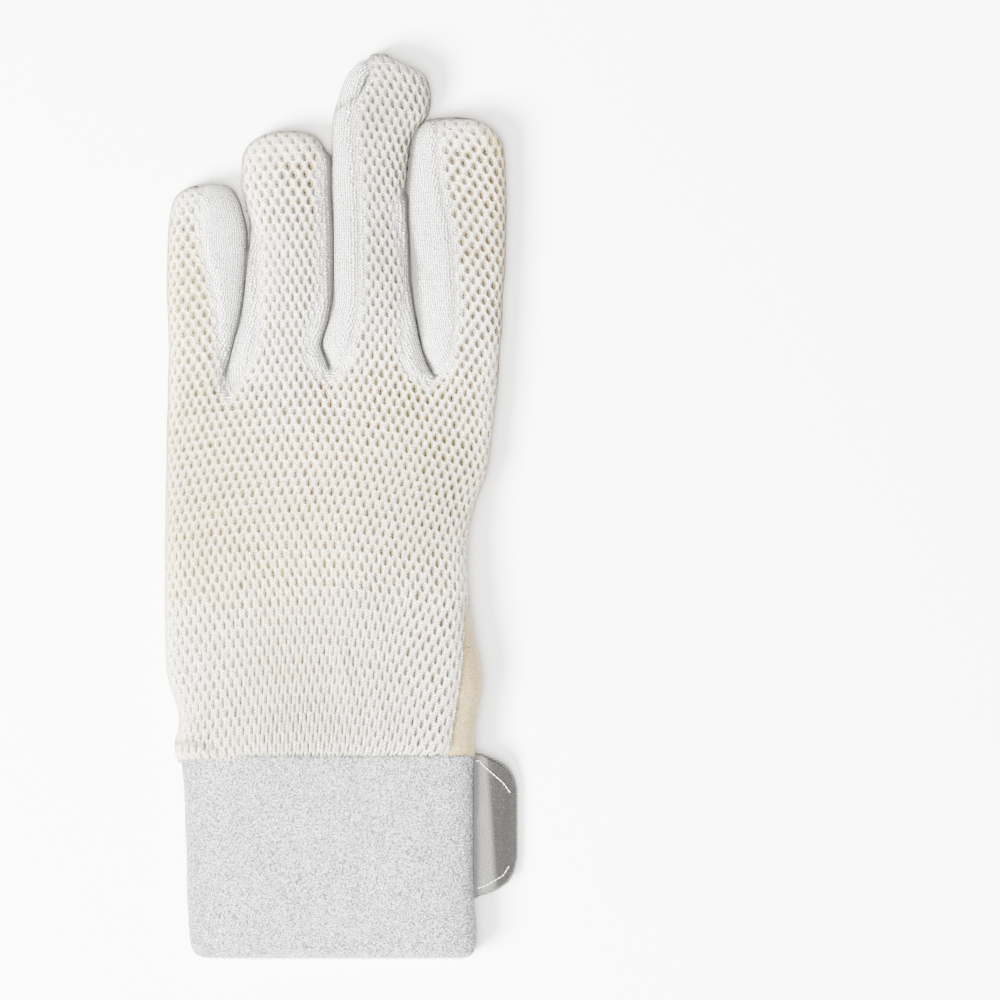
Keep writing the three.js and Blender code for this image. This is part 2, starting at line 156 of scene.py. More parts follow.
# Each jersey strip: the fingers at its sides, its edges (y, left, right), where each side of it
# begins, the crotch between the fingers, as x, y, the y below which its sides touch, and how far
# and how deeply it is in shade beside the crease: y, reach and depth on the left, and on the right
STRIPS = {
    "fourchette_little_ring": dict(
        left="little", right="ring", left_top=89.7, right_top=82.6, crotch=(-32.1, 32.1), touch=73.5,
        shade=np.array([
            [90.0, 0.8, 0.2, 2.5, 0.1], [76.0, 1.2, 0.4, 4.0, 0.26], [60.0, 1.6, 0.4, 4.0, 0.26],
            [45.0, 1.4, 0.5, 3.0, 0.26], [35.0, 1.4, 0.5, 1.5, 0.3], [28.0, 2.0, 0.3, 1.0, 0.3],
        ]),
        edges=np.array([
            [92.0, -39.6, -29.8], [85.5, -39.3, -28.1], [82.2, -39.3, -26.5], [79.4, -39.2, -24.2],
            [72.9, -38.8, -22.4], [66.5, -37.1, -22.3], [60.3, -35.7, -22.1], [52.0, -34.6, -22.3],
            [43.5, -33.9, -23.4], [36.5, -33.6, -26.2], [32.3, -33.5, -28.8], [29.0, -32.8, -31.5],
        ])),
    "fourchette_ring_middle": dict(
        left="ring", right="middle", left_top=101.2, right_top=126.3, crotch=(-3.0, 39.0), touch=98.0,
        shade=np.array([
            [104.0, 0.6, 0.5, 0.3, 0.1], [92.0, 1.5, 0.8, 0.3, 0.1], [80.0, 2.0, 0.65, 0.3, 0.2],
            [58.0, 2.2, 0.6, 0.3, 0.2], [48.0, 1.4, 0.6, 0.3, 0.2], [39.0, 0.9, 0.7, 0.6, 0.5],
            [34.0, 1.5, 0.2, 1.0, 0.2],
        ]),
        edges=np.array([
            [128.5, 5.5, 10.2], [124.2, 3.2, 9.4], [120.3, -0.1, 8.3], [115.0, -2.1, 6.6],
            [110.7, -2.9, 4.6], [105.1, -4.1, 4.3], [101.8, -5.2, 4.6], [96.7, -5.6, 5.2],
            [74.3, -5.6, 6.2], [60.3, -5.7, 5.9], [53.3, -7.4, 5.5], [47.7, -9.2, 4.6],
            [41.3, -9.4, 2.4], [37.1, -7.7, 0.7], [34.6, -4.1, -2.1],
        ])),
    "fourchette_middle_index": dict(
        left="middle", right="index", left_top=106.4, right_top=108.7, crotch=(25.6, 37.1), touch=108.0,
        shade=np.array([
            [108.0, 2.2, 0.9, 0.3, 0.1], [100.0, 2.7, 1.0, 0.3, 0.1], [92.0, 1.8, 0.9, 0.3, 0.2],
            [82.0, 1.1, 0.9, 0.5, 0.3], [75.0, 0.7, 0.8, 1.8, 0.65], [66.0, 0.5, 0.7, 3.0, 0.75],
            [52.0, 0.5, 0.8, 2.9, 0.72], [45.0, 0.5, 0.8, 1.3, 0.65], [39.0, 0.5, 0.9, 1.6, 0.9],
            [33.0, 1.0, 0.2, 1.4, 0.4],
        ]),
        edges=np.array([
            [111.5, 25.1, 28.7], [108.5, 23.4, 28.1], [105.1, 21.2, 28.0], [99.5, 19.2, 28.0],
            [91.1, 18.9, 28.6], [87.0, 17.0, 29.3], [83.0, 14.7, 30.0], [78.0, 15.3, 31.1],
            [72.9, 16.6, 32.1], [63.0, 17.8, 32.7], [57.0, 17.2, 32.9], [52.0, 17.2, 32.9],
            [45.0, 17.2, 32.1], [39.3, 17.8, 30.7], [35.7, 19.7, 28.4], [33.2, 23.7, 25.9],
        ])),
}

# Where the leather comes up round the thumb side: y, x of its seam with the mesh
LEATHER_SEAM = np.array([
    [-24.0, 39.0], [-26.5, 36.0], [-34.9, 34.2], [-43.3, 33.7], [-54.5, 32.3], [-65.7, 30.7],
    [-73.0, 30.0],
])

# The strap end: x and the height of its underside, and x with its two sides' y
TAB_DROOP = np.array([
    [31.0, 6.0], [39.5, 6.6], [42.0, 6.2], [44.5, 4.8], [47.0, 2.9], [49.4, 1.6],
])
TAB_ENDS = np.array([
    [37.2, -110.2, -69.0], [39.0, -109.3, -69.3], [42.0, -108.2, -70.5], [45.5, -106.2, -72.6],
    [48.0, -103.0, -75.8], [49.0, -99.0, -79.5],
])

# Soft folds in the cloth: x, y, the direction they run in degrees, half length, half width, height
FOLDS = np.array([
    [1.5, -47.0, 100.0, 12.0, 2.4, 0.7],
    [6.0, -25.0, 95.0, 22.0, 9.0, 0.8],
    [35.5, -53.0, 42.0, 6.0, 1.3, 0.6],
    [-40.0, -60.0, 60.0, 8.0, 3.0, 0.5],
    [-20.0, -62.0, 85.0, 9.0, 2.5, 0.35],
    [12.0, -60.0, 100.0, 8.0, 2.2, 0.35],
    [2.0, 112.4, 42.0, 3.4, 0.6, -1.3],
    [7.0, 118.0, 62.0, 4.6, 0.6, -1.3],
    [4.4, 111.9, 40.0, 4.2, 0.9, 0.7],
    [1.4, 116.6, 48.0, 6.0, 2.4, 0.9],
    [-5.0, 15.0, 20.0, 16.0, 7.0, 0.4],
    [-36.0, 2.0, 75.0, 16.0, 6.0, 0.35],
    [24.0, 5.0, 110.0, 14.0, 6.0, 0.4],
])

# The mesh holes by place: x, y, width and half height as shares of the pitch and row spacing,
# lean, how far they go through, how tan the painted shade inside them is, and how far the strands
# part in two ribs
HOLES = np.array([
    [-44.0, 62.0, 0.56, 0.53, -0.03, 0.06, 1.0, 0.0], [-43.0, 25.0, 0.50, 0.52, 0.0, 0.06, 1.0, 0.1],
    [-38.0, 5.0, 0.36, 0.50, 0.0, 0.09, 0.9, 0.2], [-23.0, 94.0, 0.40, 0.50, -0.05, 0.05, 0.4, 0.0],
    [-15.0, 97.0, 0.44, 0.50, -0.08, 0.16, 0.8, 0.0], [-8.0, 92.0, 0.46, 0.50, -0.08, 0.21, 0.9, 0.0],
    [-9.0, 62.0, 0.36, 0.54, -0.08, 0.14, 0.5, 0.1], [-20.0, 64.0, 0.26, 0.52, -0.06, 0.04, 0.2, 0.1],
    [-14.0, 42.0, 0.32, 0.54, -0.06, 0.10, 0.3, 0.2], [16.0, 108.0, 0.38, 0.56, -0.06, 0.08, 0.3, 0.1],
    [8.0, 84.0, 0.34, 0.58, -0.05, 0.10, 0.2, 0.2], [15.0, 84.0, 0.36, 0.58, -0.05, 0.12, 0.3, 0.2],
    [10.0, 52.0, 0.34, 0.58, 0.05, 0.10, 0.3, 0.3], [40.0, 96.0, 0.52, 0.50, 0.0, 0.16, 1.0, 0.0],
    [38.0, 70.0, 0.50, 0.54, 0.10, 0.13, 0.8, 0.0], [38.0, 42.0, 0.48, 0.54, 0.12, 0.15, 0.7, 0.1],
    [0.0, 18.0, 0.34, 0.53, -0.05, 0.14, 0.9, 0.2], [34.0, 15.0, 0.45, 0.53, 0.12, 0.14, 0.8, 0.1],
    [-10.0, -14.0, 0.31, 0.54, -0.08, 0.11, 1.0, 0.5], [14.0, 8.0, 0.34, 0.54, -0.02, 0.13, 1.0, 0.4],
    [-43.0, -15.0, 0.36, 0.54, 0.0, 0.10, 0.8, 0.3], [26.0, -12.0, 0.38, 0.55, 0.10, 0.14, 0.9, 0.4],
    [-10.0, -42.0, 0.26, 0.57, -0.08, 0.09, 0.6, 1.0], [8.0, -38.0, 0.28, 0.57, -0.05, 0.10, 0.6, 0.9],
    [-42.0, -44.0, 0.31, 0.55, -0.05, 0.05, 0.3, 0.6], [24.0, -42.0, 0.35, 0.55, 0.12, 0.16, 0.6, 0.5],
    [-8.0, -64.0, 0.20, 0.60, -0.08, 0.06, 0.1, 1.3], [-40.0, -62.0, 0.31, 0.55, -0.05, 0.04, 0.1, 0.6],
    [16.0, -62.0, 0.22, 0.58, 0.05, 0.08, 0.2, 1.1], [26.0, -64.0, 0.32, 0.56, 0.15, 0.14, 0.3, 0.5],
    [18.8, 34.6, 0.44, 0.54, 0.0, 0.20, 1.0, 0.0], [28.0, 33.0, 0.44, 0.52, 0.1, 0.18, 1.0, 0.0],
    [-5.7, 33.0, 0.38, 0.52, -0.05, 0.18, 0.9, 0.0],
])

# Where the white cloth has gone creamy: x, y, radius, how much
STAINS = np.array([
    [-45.0, 62.0, 20.0, 0.8], [-45.0, 20.0, 22.0, 0.7], [-46.0, -15.0, 18.0, 0.6],
    [-15.0, -8.0, 26.0, 0.5], [43.5, 101.0, 5.0, 0.9], [45.0, 80.0, 12.0, 0.5],
    [30.0, 20.0, 18.0, 0.35], [8.0, 20.0, 16.0, 0.3], [-18.0, 96.0, 10.0, 0.35],
    [-42.0, -64.0, 12.0, 0.45], [-15.0, -55.0, 26.0, 0.35],
])

# Where shade is painted onto the cloth to grey it: x, y, radius, how much
PAINTED_SHADE_PLACES = np.array([
    [12.0, 112.0, 16.0, 0.27], [10.0, 75.0, 20.0, 0.23], [-10.0, -60.0, 28.0, 0.11],
    [-46.0, 0.0, 22.0, 0.12], [30.0, 2.0, 20.0, 0.17], [38.0, 75.0, 14.0, 0.08],
])

# x of the crotches between neighbouring fingers
BETWEEN_FINGERS = (-32.1, -3.0, 25.6)


def follow(table, column, x):
    """A monotone cubic through a table's first column and another one: Hermite pieces whose
    slopes are harmonic means."""
    order = np.argsort(table[:, 0])
    xs, ys = table[order, 0], table[order, column]
    step = np.diff(xs)
    rise = np.diff(ys) / step
    product = rise[:-1] * rise[1:]
    mean = 2 * product / np.where(product > 0, rise[:-1] + rise[1:], 1.0)
    slope = np.concatenate([rise[:1], np.where(product > 0, mean, 0.0), rise[-1:]])
    i = np.clip(np.searchsorted(xs, x, side="right") - 1, 0, len(step) - 1)
    t = np.clip((x - xs[i]) / step[i], 0.0, 1.0)
    a = (1 + 2 * t) * (1 - t) ** 2 * ys[i] + t * (1 - t) ** 2 * step[i] * slope[i]
    b = t * t * (3 - 2 * t) * ys[i + 1] + t * t * (t - 1) * step[i] * slope[i + 1]
    return a + b


def smooth_step(t):
    """0 to 1 with flat ends: 3t squared less 2t cubed."""
    t = np.clip(t, 0.0, 1.0)
    return t * t * (3 - 2 * t)


def soft_max(a, b, width):
    """The greater of two heights, with a fillet of the given width where they are close."""
    near = np.clip(width - np.abs(a - b), 0.0, None)
    return np.maximum(a, b) + near * near / (4 * width)


def blend(table, rows, columns, a, b):
    """A table's value between two rows and two columns, at shares a and b of the way."""
    (i, i2), (j, j2) = rows, columns
    low = table[i, j] * (1 - b) + table[i, j2] * b
    high = table[i2, j] * (1 - b) + table[i2, j2] * b
    return low * (1 - a) + high * a


def ease(count):
    """Shares from 0 to 1, closer together towards both ends."""
    return (1 - np.cos(np.pi * np.linspace(0, 1, count))) / 2


def between(start, end, share):
    """Rows of values from each start to its end, at the given shares of the way."""
    return start[:, None] + (end - start)[:, None] * share


def length_to(x, y):
    """The length along a line, or along each row of lines, to each of its points."""
    steps = np.hypot(np.diff(x, axis=-1), np.diff(y, axis=-1))
    nought = np.zeros(steps.shape[:-1] + (1,))
    return np.concatenate([nought, np.cumsum(steps, axis=-1)], axis=-1)


def evened(path, step, passes):
    """A path of x and y with points evenly a step apart, rounded off by passes that blend each
    point with its neighbours; and the length to each point."""
    run = length_to(*path.T)
    even = np.linspace(0, run[-1], int(run[-1] / step))
    path = np.stack([np.interp(even, run, path[:, 0]), np.interp(even, run, path[:, 1])], axis=1)
    for _ in range(passes):
        path[1:-1] = path[:-2] / 4 + path[1:-1] / 2 + path[2:] / 4
    return path, even


def cloud(x, y, z):
    """Points from coordinates that are spread out to one shape."""
    return np.stack(np.broadcast_arrays(x, y, z), axis=-1).reshape(-1, 3)


def tip_of(rows):
    """y of a tube's tip, a little beyond its outline's first row."""
    return rows[0, 0] + 0.25


def tube_edges(rows, y):
    """Left and right edge of a round ended tube: tables followed against the root of the
    distance from the tip, so that the end is as round as a circle's."""
    tip = tip_of(rows)
    middle = rows[0, 1:3].mean()
    table = np.vstack([[tip, middle, middle], rows[:, :3]])
    table[:, 0] = np.sqrt(tip - table[:, 0])
    depth = np.sqrt(np.clip(tip - y, 0.0, None))
    return follow(table, 1, depth), follow(table, 2, depth)


def round_end(rows, y, radius):
    """How far a tube has risen at y: a quarter circle over the radius from its tip."""
    reach = np.clip((tip_of(rows) - y) / radius, 0.0, 1.0)
    return np.sqrt(1 - (1 - reach) ** 2)


def rows_from_tip(tip, nearest, dense, last, count):
    """y of rows from a tube's tip to the last one: dense ones over the first 6 mm, closer
    together towards the tip, and then count even ones."""
    near = tip - 6.0 * np.linspace(nearest, 1, dense) ** 2
    return np.concatenate([near, np.linspace(tip - 7.0, last, count)])


def across(left, right, lean, x):
    """Distance from the ridge as a share of the half width on that side."""
    ridge = left + (right - left) * lean
    over_right = (x - ridge) / np.maximum(right - ridge, 1e-6)
    over_left = (ridge - x) / np.maximum(ridge - left, 1e-6)
    return np.where(x > ridge, over_right, over_left)


def arch(t, square):
    """A superellipse's height over its half width: 1 at the ridge, 0 at the edge."""
    return (1 - np.clip(t, 0.0, 1.0) ** square) ** (1 / square)


def finger_top(finger, x, y):
    """Height of one finger's upper side, and far below where the finger isn't."""
    left, right = tube_edges(finger["rows"], y)
    t = across(left, right, finger["lean"], x)
    rise = (FINGER_CROWN - SEAM) * round_end(finger["rows"], y, TIP_RADIUS)
    inside = (t < 1) & (y < tip_of(finger["rows"]))
    return np.where(inside, SEAM + rise * arch(t, FINGER_SQUARE), FAR_BELOW)


def hand_edges(y):
    return follow(HAND, 1, y), follow(HAND, 2, y)


def hand_section(x, y):
    """The hand's height over its seam without its front end: a boxy arch between its edges."""
    left, right = hand_edges(y)
    crown = follow(HAND, 3, y)
    return (crown - SEAM) * arch(across(left, right, 0.5, x), HAND_SQUARE)


def hand_top(x, y):
    """Height of the hand's upper side: its front end is a quarter ellipse under the knuckles."""
    beyond = np.clip((y - KNUCKLES) / KNUCKLE_REACH, 0.0, 1.0)
    front = np.sqrt(1 - beyond ** 2)
    return np.where(front > 0, SEAM + hand_section(x, y) * front, FAR_BELOW)


def folds(x, y, table=FOLDS):
    """Each fold is a ridge: a bell curve across it and another along it."""
    total = np.zeros(np.broadcast(x, y).shape)
    for fx, fy, turn, length, width, height in table:
        c, s = np.cos(np.radians(turn)), np.sin(np.radians(turn))
        along = (x - fx) * c + (y - fy) * s
        aside = (y - fy) * c - (x - fx) * s
        total += height * np.exp(-(along / length) ** 2 - (aside / width) ** 2)
    return total


def top(x, y):
    """Height of the glove's upper side: its fingers sink away under the hand and run softly
    together with it, with folds that fade out towards the outline."""
    z = hand_top(x, y)
    sunk = 14.0 * smooth_step((24.0 - y) / 16.0)
    for finger in FINGERS.values():
        z = soft_max(z, finger_top(finger, x, y) - sunk, VALLEY)
    z = np.maximum(z, SEAM)
    return z + folds(x, y) * smooth_step((z - SEAM) / 4.0)


def on_top(x, y):
    """0 low down on the glove's sides, to 1 on its upper side."""
    return smooth_step((top(x, y) - SEAM - 2.0) / 3.5)


def thumb_tent(x, y):
    """Height of the palm's leather over the folded thumb, falling away round its outline."""
    left, right = tube_edges(THUMB, np.minimum(y, tip_of(THUMB) - 0.5))
    beside = np.maximum(np.maximum(left - x, x - right), 0.0)
    beyond = np.maximum(np.maximum(y - tip_of(THUMB), THUMB[-1, 0] - y), 0.0)
    gone = np.hypot(beside, beyond)
    return (THUMB_CROWN + 0.5) * smooth_step(1 - (gone - 0.4) / 2.6)


def sag(left, right, depth, x):
    """How far an underside is below the seam: its whole depth except near its edges."""
    t = np.abs(x - (left + right) / 2) / np.maximum((right - left) / 2, 1e-6)
    return np.where(t < 1, depth * np.minimum(1, UNDERSIDE_REACH * arch(t, UNDERSIDE_SQUARE)), 0.0)


def underside(x, y):
    """Height of the lower side: flat on the surface, rounded up to the seam at its edges."""
    deep = np.zeros(np.broadcast(x, y).shape)
    for finger in FINGERS.values():
        left, right = tube_edges(finger["rows"], y)
        inside = (y < tip_of(finger["rows"])) & (y > FINGER_ROOT)
        depth = SEAM * round_end(finger["rows"], y, TIP_RADIUS) * smooth_step((y - FINGER_ROOT) / 8.0)
        deep = soft_max(deep, np.where(inside, sag(left, right, depth, x), 0.0), 1.0)
    front = smooth_step((KNUCKLES + KNUCKLE_REACH - y) / 10.0)
    deep = soft_max(deep, sag(*hand_edges(y), SEAM * front, x), 1.0)
    return np.maximum(np.clip(SEAM - deep, 0.0, None), thumb_tent(x, y))


def lifted(x, y, lift):
    """Points on the upper side, moved out along its normal by lift, or by less where it is steep."""
    step, steepest = 0.12, 4.0
    slope_x = np.clip((top(x + step, y) - top(x - step, y)) / (2 * step), -steepest, steepest)
    slope_y = np.clip((top(x, y + step) - top(x, y - step)) / (2 * step), -steepest, steepest)
    size = np.sqrt(slope_x ** 2 + slope_y ** 2 + 1)
    lift = np.where(lift > 0, lift / size ** 2, lift)
    z = top(x, y)
    return np.stack([x - slope_x * lift / size, y - slope_y * lift / size, z + lift / size], axis=-1)


class ColumnMap:
    """x as a function of mesh column and y, tabulated over rows of y. What is tabulated is the
    fourth root of the distance from the nearer edge as a share of the half width, counted on to 2
    at the right edge, as the sections are nearly upright at their edges."""

    def __init__(self, ys, columns, xs, edges):
        left, right = edges(ys)
        share = np.clip((xs - left[:, None]) / (right - left)[:, None], 0.0, 1.0)
        root = (2 * np.minimum(share, 1 - share)) ** 0.25
        self.ys, self.columns, self.xs, self.edges = ys, columns, xs, edges
        self.roots = np.where(share < 0.5, root, 2 - root)

    def x(self, column, y):
        """Between the four nearest tabulated values, in proportion."""
        r = np.clip((y - self.ys[0]) / (self.ys[1] - self.ys[0]), 0, len(self.ys) - 1.001)
        c = np.clip((column - self.columns[0]) / (self.columns[1] - self.columns[0]),
                    0, len(self.columns) - 1.001)
        i, j = r.astype(int), c.astype(int)
        root = blend(self.roots, (i, i + 1), (j, j + 1), r - i, c - j)
        near = np.minimum(root, 2 - root) ** 4 / 2
        left, right = self.edges(np.clip(y, self.ys[0], self.ys[-1]))
        return left + (right - left) * np.where(root < 1, near, 1 - near)


def arc_rows(left, right, height):
    """Sections sampled closely at their edges: x, and the length along the section to it."""
    x = between(left, right, ease(241))
    return x, length_to(x, height(x))


def hand_map(count):
    """The hand's mesh columns, by their share of the way along each section: towards the wrist
    they are closer in the middle, and lean in from the right as the leather's seam does."""
    ys = np.linspace(-74.0, 48.0, 245)
    left, right = hand_edges(ys)
    x, arc = arc_rows(left, right, lambda x: hand_section(x, ys[:, None]))
    pinch = np.clip(left + 48.9, 0.0, None)[:, None]
    arc = arc + pinch * smooth_step(arc / 18.0)
    leaning = np.clip(right - 36.5 - 0.16 * (ys + 22.0), 0.0, None)
    leaning = leaning * smooth_step((-14.0 - ys) / 14.0)
    squeeze = -0.008 + 0.023 * smooth_step((5.0 - ys) / 50.0)
    columns = np.linspace(-1.0, count + 1.0, 8 * (count + 2) + 1)
    table = np.empty((len(ys), len(columns)))
    for row in range(len(ys)):
        share = arc[row] / (arc[row, -1] - leaning[row])
        counted = count * (share - squeeze[row] * np.sin(2 * np.pi * share))
        table[row] = np.interp(columns, counted, x[row])
    return ColumnMap(ys, columns, table, hand_edges)


def finger_map(finger, base):
    """A finger's mesh columns: one pitch apart along each section, counted from its axis line,
    whose column is the hand's there. Also the columns at its two edges."""
    ys = np.linspace(26.0, tip_of(finger["rows"]) - 0.05, 200)
    x, arc = arc_rows(*tube_edges(finger["rows"], ys), lambda x: finger_top(finger, x, ys[:, None]))
    axis = follow(finger["axis"], 1, ys)
    pitch = follow(finger["axis"], 2, ys)
    meets = finger["parts"] + 1.0
    hand_row = int(np.searchsorted(base.ys, meets))
    column = np.interp(np.interp(meets, ys, axis), base.xs[hand_row], base.columns)
    columns = column + np.linspace(-FINGER_REACH, FINGER_REACH, 145)
    table = np.empty((len(ys), len(columns)))
    ends = np.empty((len(ys), 2))
    for row in range(len(ys)):
        from_axis = arc[row] - np.interp(axis[row], x[row], arc[row])
        counted = column + from_axis / pitch[row]
        table[row] = np.interp(columns, counted, x[row])
        ends[row] = counted[[0, -1]]
    return ColumnMap(ys, columns, table, lambda y: tube_edges(finger["rows"], y)), ends


def finger_run(finger):
    """y as a function of the cloth's length along a finger and the hand behind it: longer at the
    finger's round tip, and stretched by a ninth towards the wrist."""
    base, flat = 20.0, 417  # the y up to which the cloth is level, and how many steps that takes
    ys = np.concatenate([np.linspace(-84.0, base, flat),
                         np.linspace(base + 0.1, tip_of(finger["rows"]), 800)])
    axis = follow(finger["axis"], 1, ys)
    z = np.where(ys > base, np.maximum(finger_top(finger, axis, ys), SEAM), 0.0)
    z[:flat] = z[flat]
    stretch = 1 + 0.11 * smooth_step((10.0 - ys[:-1]) / 50.0)
    run = np.concatenate([[0.0], np.cumsum(np.hypot(np.diff(ys), np.diff(z)) / stretch)])
    return run - run[flat - 1] + base, ys


def facing_edges(strip, y):
    """x of the edges that the fingers beside a jersey strip turn to each other."""
    return (tube_edges(FINGERS[strip["left"]]["rows"], y)[1],
            tube_edges(FINGERS[strip["right"]]["rows"], y)[0])


def mesh_edges(name, y):
    """Left and right x of the mesh on a finger: its seams with the jersey, or its outline; and
    how far its cells may stand over them."""
    left, right = tube_edges(FINGERS[name]["rows"], y)
    over = [CELL_OVER, CELL_OVER]
    for strip in STRIPS.values():
        if strip["right"] == name:
            seam = follow(strip["edges"], 2, y)
            left = np.where(y < strip["right_top"], np.maximum(left, seam), left)
            over[0] = np.where(y < strip["right_top"] - 3.0, STRIP_OVER, CELL_OVER)
        if strip["left"] == name:
            seam = follow(strip["edges"], 1, y)
            right = np.where(y < strip["left_top"], np.minimum(right, seam), right)
            over[1] = np.where(y < strip["left_top"] - 3.0, STRIP_OVER, CELL_OVER)
    return left, right, *over


def by_place(table, x, y):
    """Values between the table's places, each weighed by the inverse fourth power of distance."""
    gap = (x[:, None] - table[None, :, 0]) ** 2 + (y[:, None] - table[None, :, 1]) ** 2
    weight = 1 / (gap + 25.0) ** 2
    return (weight @ table[:, 2:]) / weight.sum(axis=1, keepdims=True)


def bells(table, x, y):
    """The sum of bell curves round places: x, y, radius, how much."""
    gap = (x[..., None] - table[:, 0]) ** 2 + (y[..., None] - table[:, 1]) ** 2
    return (table[:, 3] * np.exp(-gap / table[:, 2] ** 2)).sum(axis=-1)


def bottom_seam(y):
    """x at which the mesh stops for the leather; far to the right above the leather."""
    return np.where(y < -25.0, follow(LEATHER_SEAM, 1, y), 99.0)


def rim_shade(x, y):
    """How much painted shade the cloth has where it turns away from the light: 1 at the seam to 0 on
    top, a little in its painted shade places, and where it turns down to the leather and on the hand's
    left side."""
    left, _ = hand_edges(y)
    turned = 0.32 * smooth_step(1 - (bottom_seam(y) - x) / 3.6)
    turned = turned + (0.22 * smooth_step(1 - (x - left) / 1.6)
                       * smooth_step((40.0 - y) / 9.0))
    return 1 - smooth_step((top(x, y) - SEAM - 0.4) / 5.0) + bells(PAINTED_SHADE_PLACES, x, y) + turned


def creamy(x, y):
    """How creamy the cloth is at a place, from 0 to 1."""
    return np.clip(bells(STAINS, x, y), 0.0, 1.0)


def grid_quads(rows, columns, wrap_rows=False, wrap_columns=False):
    """Four cornered faces over a grid of points, in order."""
    i = np.arange(rows if wrap_rows else rows - 1)[:, None]
    j = np.arange(columns if wrap_columns else columns - 1)[None, :]
    i2, j2 = (i + 1) % rows, (j + 1) % columns
    quads = np.stack(np.broadcast_arrays(i * columns + j, i * columns + j2,
                                         i2 * columns + j2, i2 * columns + j), axis=-1)
    return quads.reshape(-1, 4)


def join_parts(parts):
    """Several (points, quads) as one."""
    starts = np.cumsum([0] + [len(points) for points, _ in parts])
    return (np.concatenate([points for points, _ in parts]),
            np.concatenate([quads + start for (_, quads), start in zip(parts, starts)]))


def mesh_piece(name, points, quads, uv=None, values=None, weld=0.01):
    """An object from points in millimetres and quads, welded, with a UV map, given for each
    point or each corner of each face, and named values at its points."""
    mesh = bpy.data.meshes.new(name)
    mesh.vertices.add(len(points))
    mesh.vertices.foreach_set("co", (points * MM).astype(np.float32).ravel())
    mesh.loops.add(quads.size)
    mesh.loops.foreach_set("vertex_index", quads.astype(np.int32).ravel())
    mesh.polygons.add(len(quads))
    mesh.polygons.foreach_set("loop_start", np.arange(0, quads.size, 4, dtype=np.int32))
    mesh.update(calc_edges=True)
    if uv is not None:
        layer = mesh.uv_layers.new(name="cloth")
        corners = uv[quads.ravel()] if len(uv) == len(points) else uv
        layer.data.foreach_set("uv", corners.astype(np.float32).ravel())
    for key, value in (values or {}).items():
        attribute = mesh.attributes.new(key, "FLOAT", "POINT")
        attribute.data.foreach_set("value", value.astype(np.float32).ravel())
    work = bmesh.new()
    work.from_mesh(mesh)
    bmesh.ops.remove_doubles(work, verts=work.verts, dist=weld * MM)
    bmesh.ops.dissolve_degenerate(work, edges=work.edges, dist=weld * MM)
    work.to_mesh(mesh)
    work.free()
    mesh.shade_smooth()
    obj = bpy.data.objects.new(name, mesh)
    bpy.context.scene.collection.objects.link(obj)
    return obj


def thicken(obj, thickness):
    """Gives a sheet its wall, on the side that its faces turn away from, and applies it."""
    solid = obj.modifiers.new("wall", "SOLIDIFY")
    solid.thickness = thickness * MM
    solid.offset = -1.0
    solid.use_even_offset = False
    bpy.context.view_layer.objects.active = obj
    with bpy.context.temp_override(object=obj, active_object=obj, selected_objects=[obj]):
        bpy.ops.object.modifier_apply(modifier=solid.name)
    obj.data.shade_smooth()


def finish_piece(obj, material, nodes=()):
    """Gives a piece its material and slot, sets it on the glove's one body, and lets it stand
    for its nodes."""
    obj.data.materials.clear()
    obj.data.materials.append(material)
    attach(obj, "root")
    if nodes:
        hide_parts(*nodes)


def linear(hex_colour):
    """An sRGB hex colour as linear red, green and blue."""
    parts = [int(hex_colour[i:i + 2], 16) / 255 for i in (1, 3, 5)]
    return tuple(p / 12.92 if p <= 0.04045 else ((p + 0.055) / 1.055) ** 2.4 for p in parts)


def add(tree, kind, inputs=(), output=0, **settings):
    """Adds a node with its settings. Its inputs, in order or by their keys, are linked to other
    nodes' outputs or set, a colour with alpha 1. Returns one of the node's outputs."""
    node = tree.nodes.new("ShaderNode" + kind)
    for key, value in settings.items():
        setattr(node, key, value)
    for key, value in inputs.items() if isinstance(inputs, dict) else enumerate(inputs):
        socket = node.inputs[key]
        if isinstance(value, bpy.types.NodeSocket):
            tree.links.new(value, socket)
        elif socket.type == "RGBA":
            socket.default_value = (*value, 1.0)
        else:
            socket.default_value = value
    return node.outputs[output] if node.outputs else None


def new_material(name):
    """An empty material, and the function that adds nodes to it."""
    material = bpy.data.materials.new(name)
    material.use_nodes = True
    material.node_tree.nodes.clear()
    return material, partial(add, material.node_tree)


def shaded(material, node, inputs):
    """The material, closed with the one shader that the inputs go to."""
    shader = node("BsdfPrincipled", {"Sheen Roughness": 0.6, **inputs})
    node("OutputMaterial", {"Surface": shader})
    return material


def per_mm(size):
    """The scale at which a texture's blotches or lumps are about size millimetres across."""
    return 1 / (size * MM)


def shade_share(node, amount):
    """The share of a dark colour in a mix that makes even steps of the amount look even, as the
    dark colour is a tenth as bright: 1.111 less 1.111 times 0.1 to the power of the amount."""
    left = node("Math", (0.1, amount), operation="POWER")
    return node("Math", (left, -1.111, 1.111), operation="MULTIPLY_ADD")


